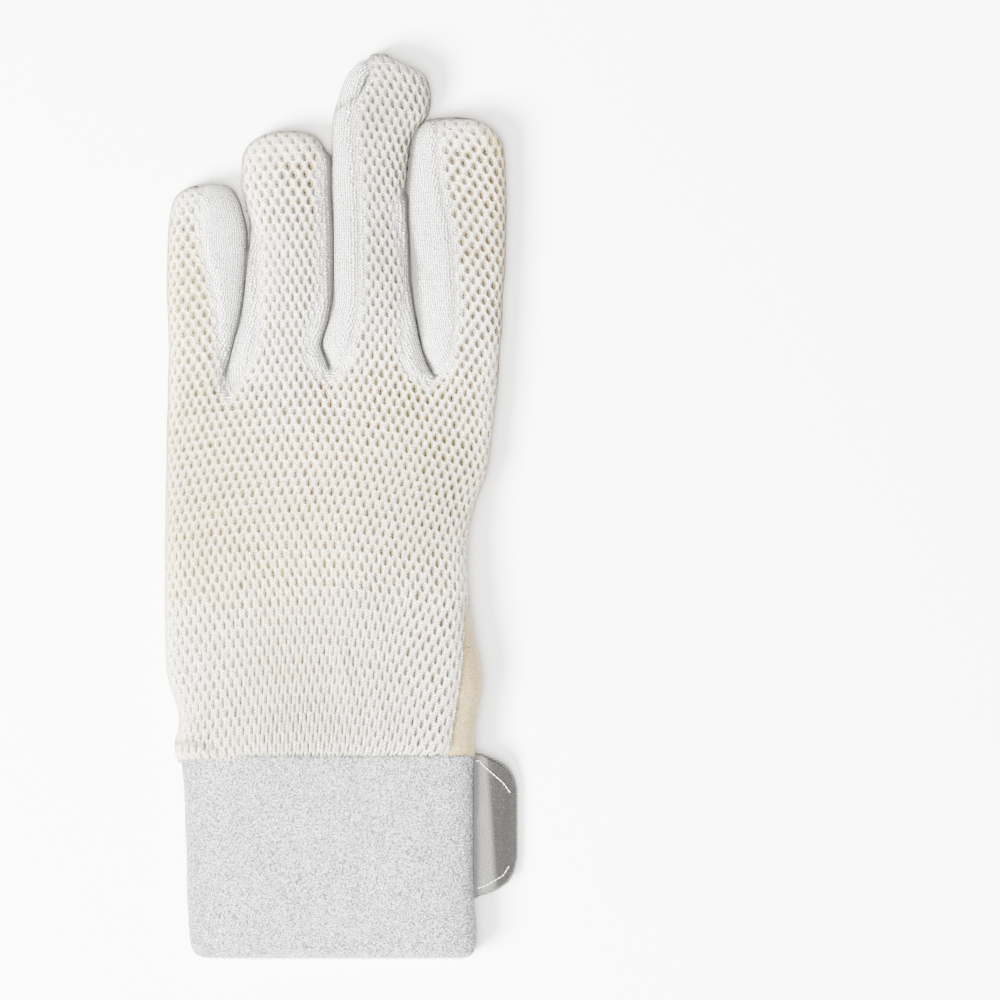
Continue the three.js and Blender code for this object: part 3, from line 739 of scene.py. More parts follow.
def cotton_mesh_material(colours):
    """Warp knit cotton mesh: matt warm white yarn, fuzzy, its loops slanted to either side of
    each strand, twelve round a hole, shaded in the holes and creamy where it has been worn."""
    material, node = new_material("cotton mesh knit")
    # sunk, tan and rim carry painted shade: how dark it is in the holes, how tan there, and at the rims
    worn, sunk, tan, rim = (node("Attribute", output="Fac", attribute_name=name)
                            for name in ("creamy", "sunk", "tan", "rim"))
    place = node("TexCoord", output="Object")
    around, down = node("SeparateXYZ", (node("UVMap", uv_map="cloth"),)).node.outputs[:2]
    fuzz = node("TexNoise", {"Vector": place, "Scale": per_mm(0.34), "Detail": 3.0,
                             "Roughness": 0.6})
    # The height: a wave along the yarn's loops, its fuzz, and knots 0.5 mm apart
    turn = node("Math", (down, 0.9, around), operation="MULTIPLY_ADD")
    turn = node("Math", (fuzz, 0.5, turn), operation="MULTIPLY_ADD")
    turn = node("Math", (turn, FULL_TURN), operation="MULTIPLY")
    loop = node("Math", (turn,), operation="SINE")
    height = node("Math", (loop, 0.12, fuzz), operation="MULTIPLY_ADD")
    knots = node("TexVoronoi", {"Vector": place, "Scale": per_mm(0.5)})
    height = node("Math", (knots, -0.3, height), operation="MULTIPLY_ADD")
    # The colour: white to cream where worn, with painted shade at the rims, in the holes and between
    # the loops
    blotch = node("TexNoise", {"Vector": place, "Scale": per_mm(9.0), "Detail": 3.0})
    blotch = node("Math", (blotch, 0.45), operation="ADD")
    worn = node("Math", (worn, blotch), operation="MULTIPLY")
    base = node("Mix", {0: worn, 6: colours.mesh_white, 7: colours.mesh_cream}, **COLOUR_MIX)
    rim = shade_share(node, node("Math", (rim, 0.9), operation="MULTIPLY"))
    base = node("Mix", {0: rim, 6: base, 7: colours.mesh_shade}, **COLOUR_MIX)
    inside = node("Mix", {0: tan, 6: colours.mesh_shade, 7: colours.mesh_tan_shade}, **COLOUR_MIX)
    # Painted shade where the yarn is low, added to the painted shade of the holes
    low = node("Math", (height, -2.6, 0.988), operation="MULTIPLY_ADD")
    low = shade_share(node, node("Math", (low, sunk), operation="ADD"))
    colour = node("Mix", {0: low, 6: base, 7: inside}, **COLOUR_MIX)
    bump = node("Bump", {"Height": height, "Distance": 0.5 * MM, "Strength": 1.0})
    return shaded(material, node, {"Base Color": colour, "Normal": bump, "Roughness": 0.95,
                                   "Specular IOR Level": 0.15, "Sheen Weight": 0.15})


def jersey_material(colours):
    """Cotton jersey: matt white, its stitches slanting down to the right in wales 0.58 mm wide
    and courses 0.85 mm high, drawn from the strip's own length and width, with painted shade in
    creases."""
    wale, course = 0.58, 0.85
    material, node = new_material("cotton jersey")
    # crease and rim carry painted shade: beside the creases between the fingers and at the rims
    crease, spread, rim = (node("Attribute", output="Fac", attribute_name=name)
                           for name in ("crease", "open", "rim"))
    place = node("TexCoord", output="Object")
    along, over = node("SeparateXYZ", (node("UVMap", uv_map="cloth"),)).node.outputs[:2]
    uneven = node("TexNoise", {"Vector": place, "Scale": per_mm(1.6)})
    uneven = node("Math", (uneven, 1.2), operation="MULTIPLY")
    # The height: each stitch's slanting leg, the ridge of its wale, and fuzz
    along = node("Math", (along, 1 / course, uneven), operation="MULTIPLY_ADD")
    beside = node("Math", (over, 1 / wale, uneven), operation="MULTIPLY_ADD")
    beside = node("Math", (beside,), operation="FRACT")
    beside = node("Math", (beside, 0.5), operation="SUBTRACT")
    leg = node("Math", (beside, 0.9, along), operation="MULTIPLY_ADD")
    leg = node("Math", (leg, FULL_TURN), operation="MULTIPLY")
    leg = node("Math", (leg,), operation="SINE")
    ridge = node("Math", (beside, FULL_TURN), operation="MULTIPLY")
    ridge = node("Math", (ridge,), operation="COSINE")
    stitch = node("Math", (leg, spread, ridge), operation="MULTIPLY_ADD")
    tall = node("Math", (crease, -0.17, 0.17), operation="MULTIPLY_ADD")
    fuzz = node("TexNoise", {"Vector": place, "Scale": per_mm(0.36), "Roughness": 0.6})
    height = node("Math", (stitch, tall, fuzz), operation="MULTIPLY_ADD")
    # The colour: white with slow warm blotches, with painted shade between stitches, in the creases and
    # at the rims
    blotch = node("TexNoise", {"Vector": place, "Scale": per_mm(7.0)})
    blotch = node("Math", (blotch, 0.6), operation="MULTIPLY")
    base = node("Mix", {0: blotch, 6: colours.jersey_white, 7: colours.jersey_warm}, **COLOUR_MIX)
    inside = node("Mix", {0: crease, 6: colours.jersey_shade, 7: colours.crease}, **COLOUR_MIX)
    low = node("Math", (height, -2.8, 1.792), operation="MULTIPLY_ADD")
    low = node("Math", (low, crease), operation="ADD")
    low = shade_share(node, node("Math", (rim, 0.9, low), operation="MULTIPLY_ADD"))
    colour = node("Mix", {0: low, 6: base, 7: inside}, **COLOUR_MIX)
    bump = node("Bump", {"Height": height, "Distance": 0.25 * MM, "Strength": 0.9})
    return shaded(material, node, {"Base Color": colour, "Normal": bump, "Roughness": 0.93,
                                   "Specular IOR Level": 0.15, "Sheen Weight": 0.15})


def leather_material(colours):
    """Thin dyed sheep leather: soft and matt with a low sheen, a fine light and dark grain
    0.5 mm across, pores, soft wrinkles and a slow mottle."""
    material, node = new_material("cream sheep leather")
    place = node("TexCoord", output="Object")
    fine = node("TexNoise", {"Vector": place, "Scale": per_mm(0.5)})
    mottle = node("TexNoise", {"Vector": place, "Scale": per_mm(6.0), "Detail": 4.0})
    base = node("Mix", {0: mottle, 6: colours.leather, 7: colours.leather_deep}, **COLOUR_MIX)
    raised = node("Math", (fine, 3.5, -1.4), operation="MULTIPLY_ADD")
    base = node("Mix", {0: raised, 6: base, 7: colours.leather_light}, **COLOUR_MIX)
    pores = node("TexVoronoi", {"Vector": place, "Scale": per_mm(0.55)})
    wrinkles = node("TexNoise", {"Vector": place, "Scale": per_mm(1.7)})
    grain = node("Math", (pores, 0.5, fine), operation="MULTIPLY_ADD")
    grain = node("Math", (wrinkles, 2.0, grain), operation="MULTIPLY_ADD")
    bump = node("Bump", {"Height": grain, "Distance": 0.15 * MM, "Strength": 0.8})
    return shaded(material, node, {"Base Color": base, "Normal": bump, "Roughness": 0.62,
                                   "Specular IOR Level": 0.35, "Sheen Weight": 0.05})


def towelling_material(colours):
    """Looped towelling: white, very matt, in slanted round loops 0.5 mm long and 0.3 mm wide, their
    tips pale, with painted shade in the gaps between them and where it turns down at the sides."""
    material, node = new_material("looped towelling")
    # edge is painted shade where the band turns down at its sides
    raised, edge = (node("Attribute", output="Fac", attribute_name=name)
                    for name in ("pile", "edge"))
    place = node("TexCoord", output="Object")
    slanted = node("Mapping", {"Vector": place, "Rotation": (0.0, 0.0, 0.9),
                               "Scale": (0.48, 0.32, 0.4)}, vector_type="TEXTURE")
    loops = node("TexVoronoi", {"Vector": slanted, "Scale": per_mm(1.0)})
    fuzz = node("TexNoise", {"Vector": slanted, "Scale": per_mm(0.5), "Roughness": 0.6})
    height = node("Math", (loops, -0.42, fuzz), operation="MULTIPLY_ADD")
    height = node("Math", (raised, 0.08, height), operation="MULTIPLY_ADD")
    blotch = node("TexNoise", {"Vector": place, "Scale": per_mm(14.0)})
    blotch = node("Math", (blotch, 0.6), operation="MULTIPLY")
    base = node("Mix", {0: blotch, 6: colours.towel_white, 7: colours.towel_cool}, **COLOUR_MIX)
    low = node("Math", (height, -5.4, 2.338), operation="MULTIPLY_ADD")
    low = shade_share(node, node("Math", (low, edge), operation="ADD"))
    colour = node("Mix", {0: low, 6: base, 7: colours.towel_shade}, **COLOUR_MIX)
    bump = node("Bump", {"Height": height, "Distance": 0.6 * MM, "Strength": 1.0})
    return shaded(material, node, {"Base Color": colour, "Normal": bump, "Roughness": 0.98,
                                   "Specular IOR Level": 0.15, "Sheen Weight": 0.15})


def overlock_material(colours):
    """Overlocked edge: tight bluish white thread in slanting turns 1.1 mm apart."""
    material, node = new_material("overlock thread")
    rib = node("TexWave", {"Vector": node("TexCoord", output="Object"), "Distortion": 2.0,
                           "Scale": ONE_BAND * per_mm(1.1)}, 1, bands_direction="DIAGONAL")
    colour = node("Mix", {0: rib, 6: colours.hem_blue, 7: colours.towel_white}, **COLOUR_MIX)
    bump = node("Bump", {"Height": rib, "Distance": 0.25 * MM, "Strength": 0.7})
    return shaded(material, node, {"Base Color": colour, "Normal": bump, "Roughness": 0.8,
                                   "Specular IOR Level": 0.3, "Sheen Weight": 0.2})


def strap_material(colours):
    """Woven strap cloth: grey, in a fine crosswise rib 0.6 mm apart."""
    material, node = new_material("woven strap")
    rib = node("TexWave", {"Vector": node("UVMap", uv_map="cloth"), "Distortion": 1.5,
                           "Scale": ONE_BAND / 0.6}, 1, bands_direction="Y")
    colour = node("Mix", {0: rib, 6: colours.hook_dark, 7: colours.strap_grey}, **COLOUR_MIX)
    bump = node("Bump", {"Height": rib, "Distance": 0.12 * MM, "Strength": 0.5})
    return shaded(material, node, {"Base Color": colour, "Normal": bump, "Roughness": 0.85,
                                   "Specular IOR Level": 0.3, "Sheen Weight": 0.15})


def hook_material(colours):
    """Moulded nylon hook tape: grey and slightly glossy, a close pile of hooks 0.4 mm apart,
    with painted highlights on some of their tips, and painted shade where it bends away."""
    material, node = new_material("nylon hook tape")
    bend_shade = node("Attribute", output="Fac", attribute_name="bend_shade")
    rows = node("TexWave", {"Vector": node("UVMap", uv_map="cloth"), "Distortion": 2.0,
                            "Scale": ONE_BAND / 0.45}, 1, bands_direction="X")
    hooks = node("TexNoise", {"Vector": node("TexCoord", output="Object"),
                              "Scale": per_mm(0.42), "Detail": 1.5, "Roughness": 0.6})
    height = node("Math", (rows, 0.06, hooks), operation="MULTIPLY_ADD")
    base = node("Mix", {0: bend_shade, 6: colours.hook_grey, 7: colours.hook_dark}, **COLOUR_MIX)
    # Painted highlights on the hook tips that catch the light
    glint = node("Math", (height, 1.2, -0.744), operation="MULTIPLY_ADD")
    colour = node("Mix", {0: glint, 6: base, 7: colours.hook_highlight}, **COLOUR_MIX)
    bump = node("Bump", {"Height": height, "Distance": 0.4 * MM, "Strength": 0.9})
    return shaded(material, node, {"Base Color": colour, "Normal": bump, "Roughness": 0.6,
                                   "Specular IOR Level": 0.25, "Sheen Weight": 0.0})


def thread_material(name, pale, dark):
    """Sewing thread: polyester with a faint gloss and a 0.4 mm twist."""
    material, node = new_material(name)
    twist = node("TexNoise", {"Vector": node("TexCoord", output="Object"),
                              "Scale": per_mm(0.4), "Detail": 1.0})
    colour = node("Mix", {0: twist, 6: pale, 7: dark}, **COLOUR_MIX)
    bump = node("Bump", {"Height": twist, "Distance": 0.05 * MM, "Strength": 0.5})
    return shaded(material, node, {"Base Color": colour, "Normal": bump, "Roughness": 0.6,
                                   "Specular IOR Level": 0.3, "Sheen Weight": 0.1})


def needle_hole_material(colours):
    """Painted shade for the dark inside of a needle hole in leather: matt, with no bump, as it is so
    small.
    """
    material, node = new_material("needle hole")
    grain = node("TexNoise", {"Vector": node("TexCoord", output="Object"),
                              "Scale": per_mm(0.5), "Detail": 1.0})
    colour = node("Mix", {0: grain, 6: colours.needle_shade, 7: colours.leather_deep}, **COLOUR_MIX)
    return shaded(material, node, {"Base Color": colour, "Roughness": 0.9,
                                   "Specular IOR Level": 0.2, "Sheen Weight": 0.0})


def ring_of_cell():
    """A mesh cell's outline in pitches and row spacings: the six corners of a hexagon that
    stands on a corner, and the middles of its sides, counted anticlockwise from its top."""
    corners = np.array([[0, 2 / 3], [-0.5, 1 / 3], [-0.5, -1 / 3], [0, -2 / 3], [0.5, -1 / 3],
                        [0.5, 1 / 3]])
    middles = (corners + np.roll(corners, -1, axis=0)) / 2
    return np.stack([corners, middles], axis=1).reshape(12, 2)


class MeshBack:
    """The knitted mesh: hexagonal cells in a staggered lattice of columns and rows, each with
    an oval hole, its strands crowned between the holes."""

    # From the strand's crest down to the hole's rim, its foot and the back of the cloth: how far
    # across, as a share from crest to rim, height in mm, how much painted shade it has, and how much
    # farther across it is and how much more painted shade it has on the hole's right side, away from
    # the light, and less on its left
    PROFILE = np.array([
        [0.0, 0.45, -0.04, 0.0, 0.0], [0.34, 0.42, 0.02, 0.02, -0.02],
        [0.78, 0.16, 0.18, 0.10, -0.08], [1.0, -0.20, 0.68, 0.0, 0.28],
        [1.0, -0.42, 0.8, 0.0, 0.2], [0.0, -0.75, 0.9, 0.0, 0.0],
    ])
    FOOT = 4  # the profile's row that goes only part of the way down into the hole
    ROUND = 12  # points round each ring of a cell
    # Where round a cell the crest may part in two ribs: at its corners and upright sides
    PARTED = np.array([1.0, 0.0, 1.0, 1.0, 1.0, 0.0, 1.0, 0.0, 1.0, 1.0, 1.0, 0.0])
    # Length along the yarn at each row of the profile, in turns of its loops
    DOWN = np.array([0.0, 0.3, 0.6, 0.9, 1.3, 1.8])
    START = MOUTH + 6.0  # the run at which the rows are counted from

    def __init__(self, sizes):
        self.row = sizes.row_spacing / MM
        self.count = sizes.columns
        self.base = hand_map(self.count)
        self.maps = {name: finger_map(finger, self.base) for name, finger in FINGERS.items()}
        self.runs = {name: finger_run(finger) for name, finger in FINGERS.items()}
        self.random = np.random.default_rng(11)

    def across(self, column, y, name):
        """x of a column: the hand's below a finger, the finger's own above, smoothly changed."""
        own = smooth_step((y - FINGERS[name]["parts"]) / 12.0)
        return (1 - own) * self.base.x(column, y) + own * self.maps[name][0].x(column, y)

    def settled(self, column, run, name):
        """The run of a lattice point once its row has come down by its slopes' running sum."""
        lengths, ys = self.runs[name]
        x = self.across(column, np.interp(run, lengths, ys), name)
        places = np.linspace(-50.0, 48.0, 197)
        drop = np.cumsum(follow(ROW_SLOPES, 1, places)) * 0.5
        return run - np.interp(x, places, drop - np.interp(-9.0, places, drop))

    def plan(self, column, run, name):
        """x and y of lattice points on one finger's strip of the glove."""
        lengths, ys = self.runs[name]
        y = np.interp(self.settled(column, run, name), lengths, ys)
        return self.across(column, y, name), y

    def ending(self, x):
        """y at which the mesh ends at the cuff, a little wavy: lower on the left, where it puffs
        over it."""
        wave = 0.12 * np.sin(0.45 * x) + 0.1 * np.sin(0.9 * x + 1.0)
        return MOUTH - 0.1 + wave - 1.3 * smooth_step((PUFF_END - x) / 6.0)

    def centres(self):
        """Columns and runs of the kept cells, and the finger whose strip each is on: for each
        finger those on the hand behind it, then its own."""
        kept = []
        rows = np.arange(-8, 96)
        runs = self.START + rows * self.row
        shift = 0.5 * (rows % 2)
        limits = (-99.0, *BETWEEN_FINGERS, 99.0)
        column = (np.arange(0, self.count + 1)[None, :] + shift[:, None]).ravel()
        run = np.repeat(runs, self.count + 1)
        for (name, finger), low, high in zip(FINGERS.items(), limits, limits[1:]):
            x, y = self.plan(column, run, name)
            mine = (column > 0.1) & (column < self.count - 0.1) & (x < bottom_seam(y) + 1.3)
            mine &= (x > low) & (x <= high) & (y <= finger["parts"])
            mine &= y > self.ending(x) - 0.45 * self.row
            kept.append((column[mine], run[mine], name))
            lattice, ends = self.maps[name]
            middle = lattice.columns.mean()
            reach = np.arange(np.floor(middle) - FINGER_REACH, np.ceil(middle) + FINGER_REACH + 1)
            c = (reach[None, :] + shift[:, None]).ravel()
            r = np.repeat(runs, len(reach))
            fx, fy = self.plan(c, r, name)
            left, right, over_left, over_right = mesh_edges(name, fy)
            first = np.interp(fy, lattice.ys, ends[:, 0])
            last = np.interp(fy, lattice.ys, ends[:, 1])
            own = fy > finger["parts"]
            own &= self.settled(c, r, name) < self.runs[name][0][-1] - 0.4
            own &= fx > left - np.where(over_left > CELL_OVER, 0.3, 1.2)
            own &= fx < right + np.where(over_right > CELL_OVER, 0.3, 1.2)
            own &= (fy < finger["parts"] + 12) | ((c > first + 0.1) & (c < last - 0.1))
            kept.append((c[own], r[own], name))
        return kept

    def holes(self, x, y, run, name):
        """The size, lean, depth, tan and painted shade of each hole: by place, uneven by a little,
        closing up towards the outline, the fingertip, the leather and the cuff, and with lighter
        painted shade in every other row behind the knuckles."""
        width, height, lean, deep, tan, _ = by_place(HOLES, x, y).T
        near_tip = smooth_step((tip_of(FINGERS[name]["rows"]) - y - 1.5) / 9.0)
        shut = smooth_step((top(x, y) - SEAM + 0.3) / 4.5) * near_tip
        shut = shut * smooth_step((bottom_seam(y) - x - 0.5) / 3.0)
        flank = np.where(y < 46.0, hand_edges(y)[1], 60.0) - x
        shut = shut * (0.25 + 0.75 * smooth_step((flank - 0.5) / 7.0))
        shut = shut * (0.4 + 0.6 * smooth_step((y - self.ending(x) - 0.8) / 4.0))
        count = len(x)
        width = width * (0.35 + 0.65 * shut) * (1 + self.random.normal(0, 0.14, count))
        height = height * (0.8 + 0.2 * shut) * (1 + self.random.normal(0, 0.06, count))
        strength = (0.42 + 3.0 * deep) * (0.4 + 0.6 * shut) * (1 + self.random.normal(0, 0.1, count))
        pale = np.round((run - self.START) / self.row) % 2
        turns = smooth_step((36.0 - y) / 10.0) * smooth_step((y + 52.0) / 14.0)
        strength = strength * (1 + turns * np.where(pale == 1, -0.16, 0.12))
        lean = lean + self.random.normal(0, 0.035, count)
        deep = deep * shut * (1 + self.random.normal(0, 0.15, count))
        return width, height, lean, np.clip(deep, 0.06, 0.95), tan, strength

    def hem(self, x, above_end):
        """Lift and painted shade of the cloth where it ends: tucked under the cuff, or on the left
        puffed over it in a roll with a crease above; the shade is painted along its end and in the
        crease."""
        roll = smooth_step((PUFF_END - x) / 14.0)
        tall = 1.5 + 4.2 * roll
        crease = np.exp(-((above_end - tall) / 0.7) ** 2)
        bulge = 1.5 * np.sin(np.pi * np.clip(above_end / tall, 0.0, 1.0)) - 0.4 * crease
        tuck = -1.1 * smooth_step(1 - above_end / 2.4) * (1 - roll)
        foot = 1.2 * roll * smooth_step(1 - above_end / 0.9)
        shade = (0.25 + 0.3 * roll) * smooth_step(1 - above_end / 1.6) + 0.32 * roll * crease
        return tuck, bulge * roll, foot, shade

    def cells(self, kept):
        """Points, faces, UVs and colour values of the given cells."""
        outline = ring_of_cell()
        middles = (outline + np.roll(outline, -1, axis=0)) / 2
        angle = np.pi / 2 + np.arange(self.ROUND) * 2 * np.pi / self.ROUND
        share_at, height_at, painted_shade_at, wider, shade_to_right = (part[:, None] for part in self.PROFILE.T)
        size = self.ROUND * len(self.PROFILE)
        points, cream, rim_shades, tans, sunk, keys = [], [], [], [], [], []
        for column, run, name in kept:
            x, y = self.plan(column, run, name)
            width, height, lean, deep, tan, strength = self.holes(x, y, run, name)
            hole_v = np.sin(angle)[None, :] * height[:, None]
            bulge = np.sign(np.cos(angle)) * np.abs(np.cos(angle)) ** 1.25
            hole_u = bulge[None, :] * (width / 2)[:, None] + lean[:, None] * hole_v
            hole_u = hole_u + self.random.normal(0.03, 0.02, len(x))[:, None]
            hole_v = hole_v + self.random.normal(0, 0.03, len(x))[:, None]
            share = (share_at + wider * np.cos(angle))[None, :, :]
            rings_u = outline[:, 0] * (1 - share) + hole_u[:, None, :] * share
            rings_v = outline[:, 1] * (1 - share) + hole_v[:, None, :] * share
            rings_u[:, self.FOOT] *= deep[:, None]
            rings_v[:, self.FOOT] *= deep[:, None]
            c = column[:, None, None] + rings_u
            r = run[:, None, None] + rings_v * self.row
            px, py = self.plan(c, r, name)
            px = np.minimum(px, bottom_seam(py) + 0.5)
            left, right, over_left, over_right = mesh_edges(name, py)
            above = py > FINGERS[name]["parts"]
            px = np.where(above, np.clip(px, left - over_left, right + over_right), px)
            ending = self.ending(px)
            py = np.maximum(py, ending)
            tuck, puff, foot, hem_shade = self.hem(px, py - ending)
            lift = height_at[None] + tuck + puff - foot
            ribs = by_place(HOLES[:, [0, 1, 7]], px[:, 0].ravel(), py[:, 0].ravel())
            ribs = ribs.reshape(len(x), self.ROUND) * self.PARTED
            lift[:, 0] -= 0.62 * ribs
            lift = np.where(lift > 0, lift * (0.05 + 0.95 * on_top(px, py)), lift)
            # Painted shade in each hole, more on its right side, away from the light, and in the groove
            # between ribs
            hole_shades = (painted_shade_at + shade_to_right * np.cos(angle))[None, :, :] * strength[:, None, None]
            hole_shades[:, 0] += 0.5 * ribs
            sunk.append(hole_shades.ravel())
            points.append(lifted(px, py, lift).reshape(-1, 3))
            cream.append(creamy(px, py).ravel())
            # Painted shade at the rims, in the painted shade places and along the hem
            rim_shades.append((rim_shade(px, py) + hem_shade).ravel())
            tans.append(np.repeat(tan, size))
            key = np.stack([column[:, None] + middles[:, 0], run[:, None] / self.row + middles[:, 1]],
                           axis=-1)
            keys.append(np.round(key * 96).astype(np.int64).reshape(-1, 2))
        cells = sum(len(part) for part in points) // size
        values = {"creamy": np.concatenate(cream), "tan": np.concatenate(tans),
                  "sunk": np.concatenate(sunk), "rim": np.concatenate(rim_shades)}
        return (np.concatenate(points), *self.faces(cells, size, np.concatenate(keys)), values)

    def faces(self, cells, size, keys):
        """The cells' faces between their rings, walls where a side has no neighbour, as its key
        comes only once, and the faces' UVs: round the hole and down into it."""
        start = (np.arange(cells) * size)[:, None, None]
        ring = np.arange(0, size - self.ROUND, self.ROUND)[None, :, None]
        k = start + ring + np.arange(self.ROUND)
        k2 = start + ring + (np.arange(self.ROUND) + 1) % self.ROUND
        quads = np.stack([k, k2, k2 + self.ROUND, k + self.ROUND], axis=-1).reshape(-1, 4)
        _, which, times = np.unique(keys, axis=0, return_inverse=True, return_counts=True)
        bare = (times[which.ravel()] == 1).reshape(cells, self.ROUND)
        cell, side = np.nonzero(bare)
        a, b = cell * size + side, cell * size + (side + 1) % self.ROUND
        back = size - self.ROUND
        walls = np.stack([b, a, a + back, b + back], axis=-1)
        uv = np.empty((len(self.DOWN) - 1, self.ROUND, 4, 2))
        uv[..., 0] = np.arange(self.ROUND)[None, :, None] + np.array([0, 1, 1, 0])
        uv[..., :2, 1] = self.DOWN[:-1, None, None]
        uv[..., 2:, 1] = self.DOWN[1:, None, None]
        uv = np.concatenate([np.tile(uv.reshape(-1, 2), (cells, 1)), np.zeros((walls.size, 2))])
        return np.concatenate([quads, walls]), uv


def strip_path(strip):
    """The seam of a jersey strip with the mesh: down one finger, round the fork and up the next,
    with the length to each of its points."""
    edges = strip["edges"]
    crotch_y = strip["crotch"][1]
    down = np.linspace(strip["left_top"], crotch_y, 90)
    up = np.linspace(crotch_y, strip["right_top"], 90)
    low = edges[edges[:, 0] < crotch_y - 0.5]
    dip = np.array([[low[-1, 1:3].mean(), low[-1, 0] - 0.7]])
    return evened(np.concatenate([
        np.stack([follow(edges, 1, down), down], axis=1),
        low[:, [1, 0]], dip, low[::-1][:, [2, 0]],
        np.stack([follow(edges, 2, up), up], axis=1),
    ]), 0.45, 6)


def strip_surface(strip, puff):
    """A jersey strip: from its seam with the mesh across to the edge between the fingers. Returns
    points, UVs, how much painted shade each point has beside the crease and in the dents of folds,
    how far its courses are crowded together, and how much painted shade it has at its rims."""
    path, even = strip_path(strip)
    crotch_x, crotch_y = strip["crotch"]
    turn = int(np.argmin(path[:, 1]))
    first = np.arange(len(path)) <= turn
    inner_y = np.maximum(path[:, 1], crotch_y)
    edge_left, edge_right = facing_edges(strip, inner_y)
    touching = smooth_step((strip["touch"] - inner_y) / 4.0)
    midway = (edge_left + edge_right) / 2
    edge_left = edge_left + (midway - edge_left) * touching
    edge_right = edge_right + (midway - edge_right) * touching
    bottom = path[:, 1] <= crotch_y
    inner_x = np.where(bottom, crotch_x, np.where(first, edge_left, edge_right))
    inner = np.stack([inner_x, inner_y], axis=1)
    outer = path.copy()
    below_tip = np.where(first, strip["left_top"], strip["right_top"]) - path[:, 1]
    outward = np.where(first, -1.0, 1.0) * (0.3 + smooth_step(below_tip / 6.0))
    outer[:, 0] += np.where(bottom, 0.0, outward)
    outer[:, 1] -= np.where(bottom, 1.0, 0.0)
    share = ease(34)[None, :]
    plan = outer[:, None, :] + (inner - outer)[:, None, :] * share[..., None]
    x, y = plan[..., 0], plan[..., 1]
    width = np.hypot(*(inner - outer).T)[:, None]
    from_seam = width * share
    away = width * (1 - share)
    rise = smooth_step((from_seam - 1.8) / 2.0)
    under = 1 - smooth_step((from_seam - 0.2) / 1.0)
    room = np.clip(width / 3.0, 0.0, 1.0)
    flat = on_top(x, y)
    lift = -0.65 + (0.65 + puff * flat) * rise * room - (0.55 - 0.3 * flat) * share
    lift = lift - 0.3 * under
    points = lifted(x, y, lift)
    groove = SEAM + touching[:, None] * (2.2 + 1.5 * np.minimum(away, 1.0))
    points[..., 2] = soft_max(points[..., 2], groove, 0.8)
    uv = np.stack(np.broadcast_arrays(even[:, None], away), axis=-1)
    # Painted shade beside the crease, a painted dark line where the sides touch, and painted shade in
    # the dents of the folds
    reach, depth = (np.where(first, follow(strip["shade"], 1 + i, plan[:, -1, 1]),
                             follow(strip["shade"], 3 + i, plan[:, -1, 1])) for i in (0, 1))
    dark = depth[:, None] * smooth_step(1.7 * (1 - away / (reach[:, None] + 1.0)))
    line = touching[:, None] * smooth_step(1 - away / 0.9)
    dark = np.maximum(0.85 * dark, 0.5 * line)
    dents = -folds(x, y, FOLDS[FOLDS[:, 5] < 0])
    dark = np.maximum(dark, np.clip(0.6 * dents, 0.0, 0.7))
    spacing = np.hypot(*np.moveaxis(np.gradient(plan, axis=0), -1, 0)) / (even[1] - even[0])
    return points, uv, {"crease": dark.ravel(), "open": np.clip(spacing, 0, 1).ravel() ** 2,
                        "rim": rim_shade(x, y).ravel()}


def block_edges(name, y):
    """A finger's edges on the underside: its outline, or below a crotch the line midway between
    it and its neighbour."""
    left, right = tube_edges(FINGERS[name]["rows"], y)
    for strip in STRIPS.values():
        midway = sum(facing_edges(strip, y)) / 2
        joined = y <= strip["crotch"][1]
        if strip["left"] == name:
            right = np.where(joined, midway, right)
        if strip["right"] == name:
            left = np.where(joined, midway, left)
    return left, right


def palm_surface():
    """The palm and finger fronts: one block of rows for each finger down to its base, then the
    hand's, whose columns carry on from theirs, then the part that comes up beside the mesh."""
    foot = 28.0
    parts, bases = [], []
    for name, finger in FINGERS.items():
        ys = rows_from_tip(tip_of(finger["rows"]), 0.02, 14, foot, 70)
        x = between(*block_edges(name, ys), ease(27))
        z = underside(x, ys[:, None])
        if name in ("little", "index"):
            z[:, 0 if name == "little" else -1] = SEAM
        parts.append((cloud(x, ys[:, None], z), grid_quads(*x.shape)))
        bases.append(x[-1])
    joined = np.concatenate([bases[0]] + [base[1:] for base in bases[1:]])
    ys = np.linspace(foot, MOUTH, 110)
    left, right = hand_edges(ys)
    x = between(left, right, (joined - joined[0]) / (joined[-1] - joined[0]))
    x[0] = joined
    z = underside(x, ys[:, None])
    z[:, [0, -1]] = SEAM
    parts.append((cloud(x, ys[:, None], z), grid_quads(*x.shape)))
    rows = ys < LEATHER_SEAM[1, 0]
    seam = follow(LEATHER_SEAM, 1, ys[rows]) - 1.2
    edge = np.maximum(right[rows], seam + 0.1)
    x = between(edge, seam, 1 - np.sin(np.linspace(0, np.pi / 2, 20))[::-1])
    side = lifted(x, ys[rows][:, None], -0.3 * smooth_step(np.linspace(0, 1.5, 20)))
    side[:, 0] = np.stack([edge, ys[rows], np.full(len(edge), SEAM)], axis=-1)
    parts.append((side.reshape(-1, 3), grid_quads(*x.shape)))
    return join_parts(parts)


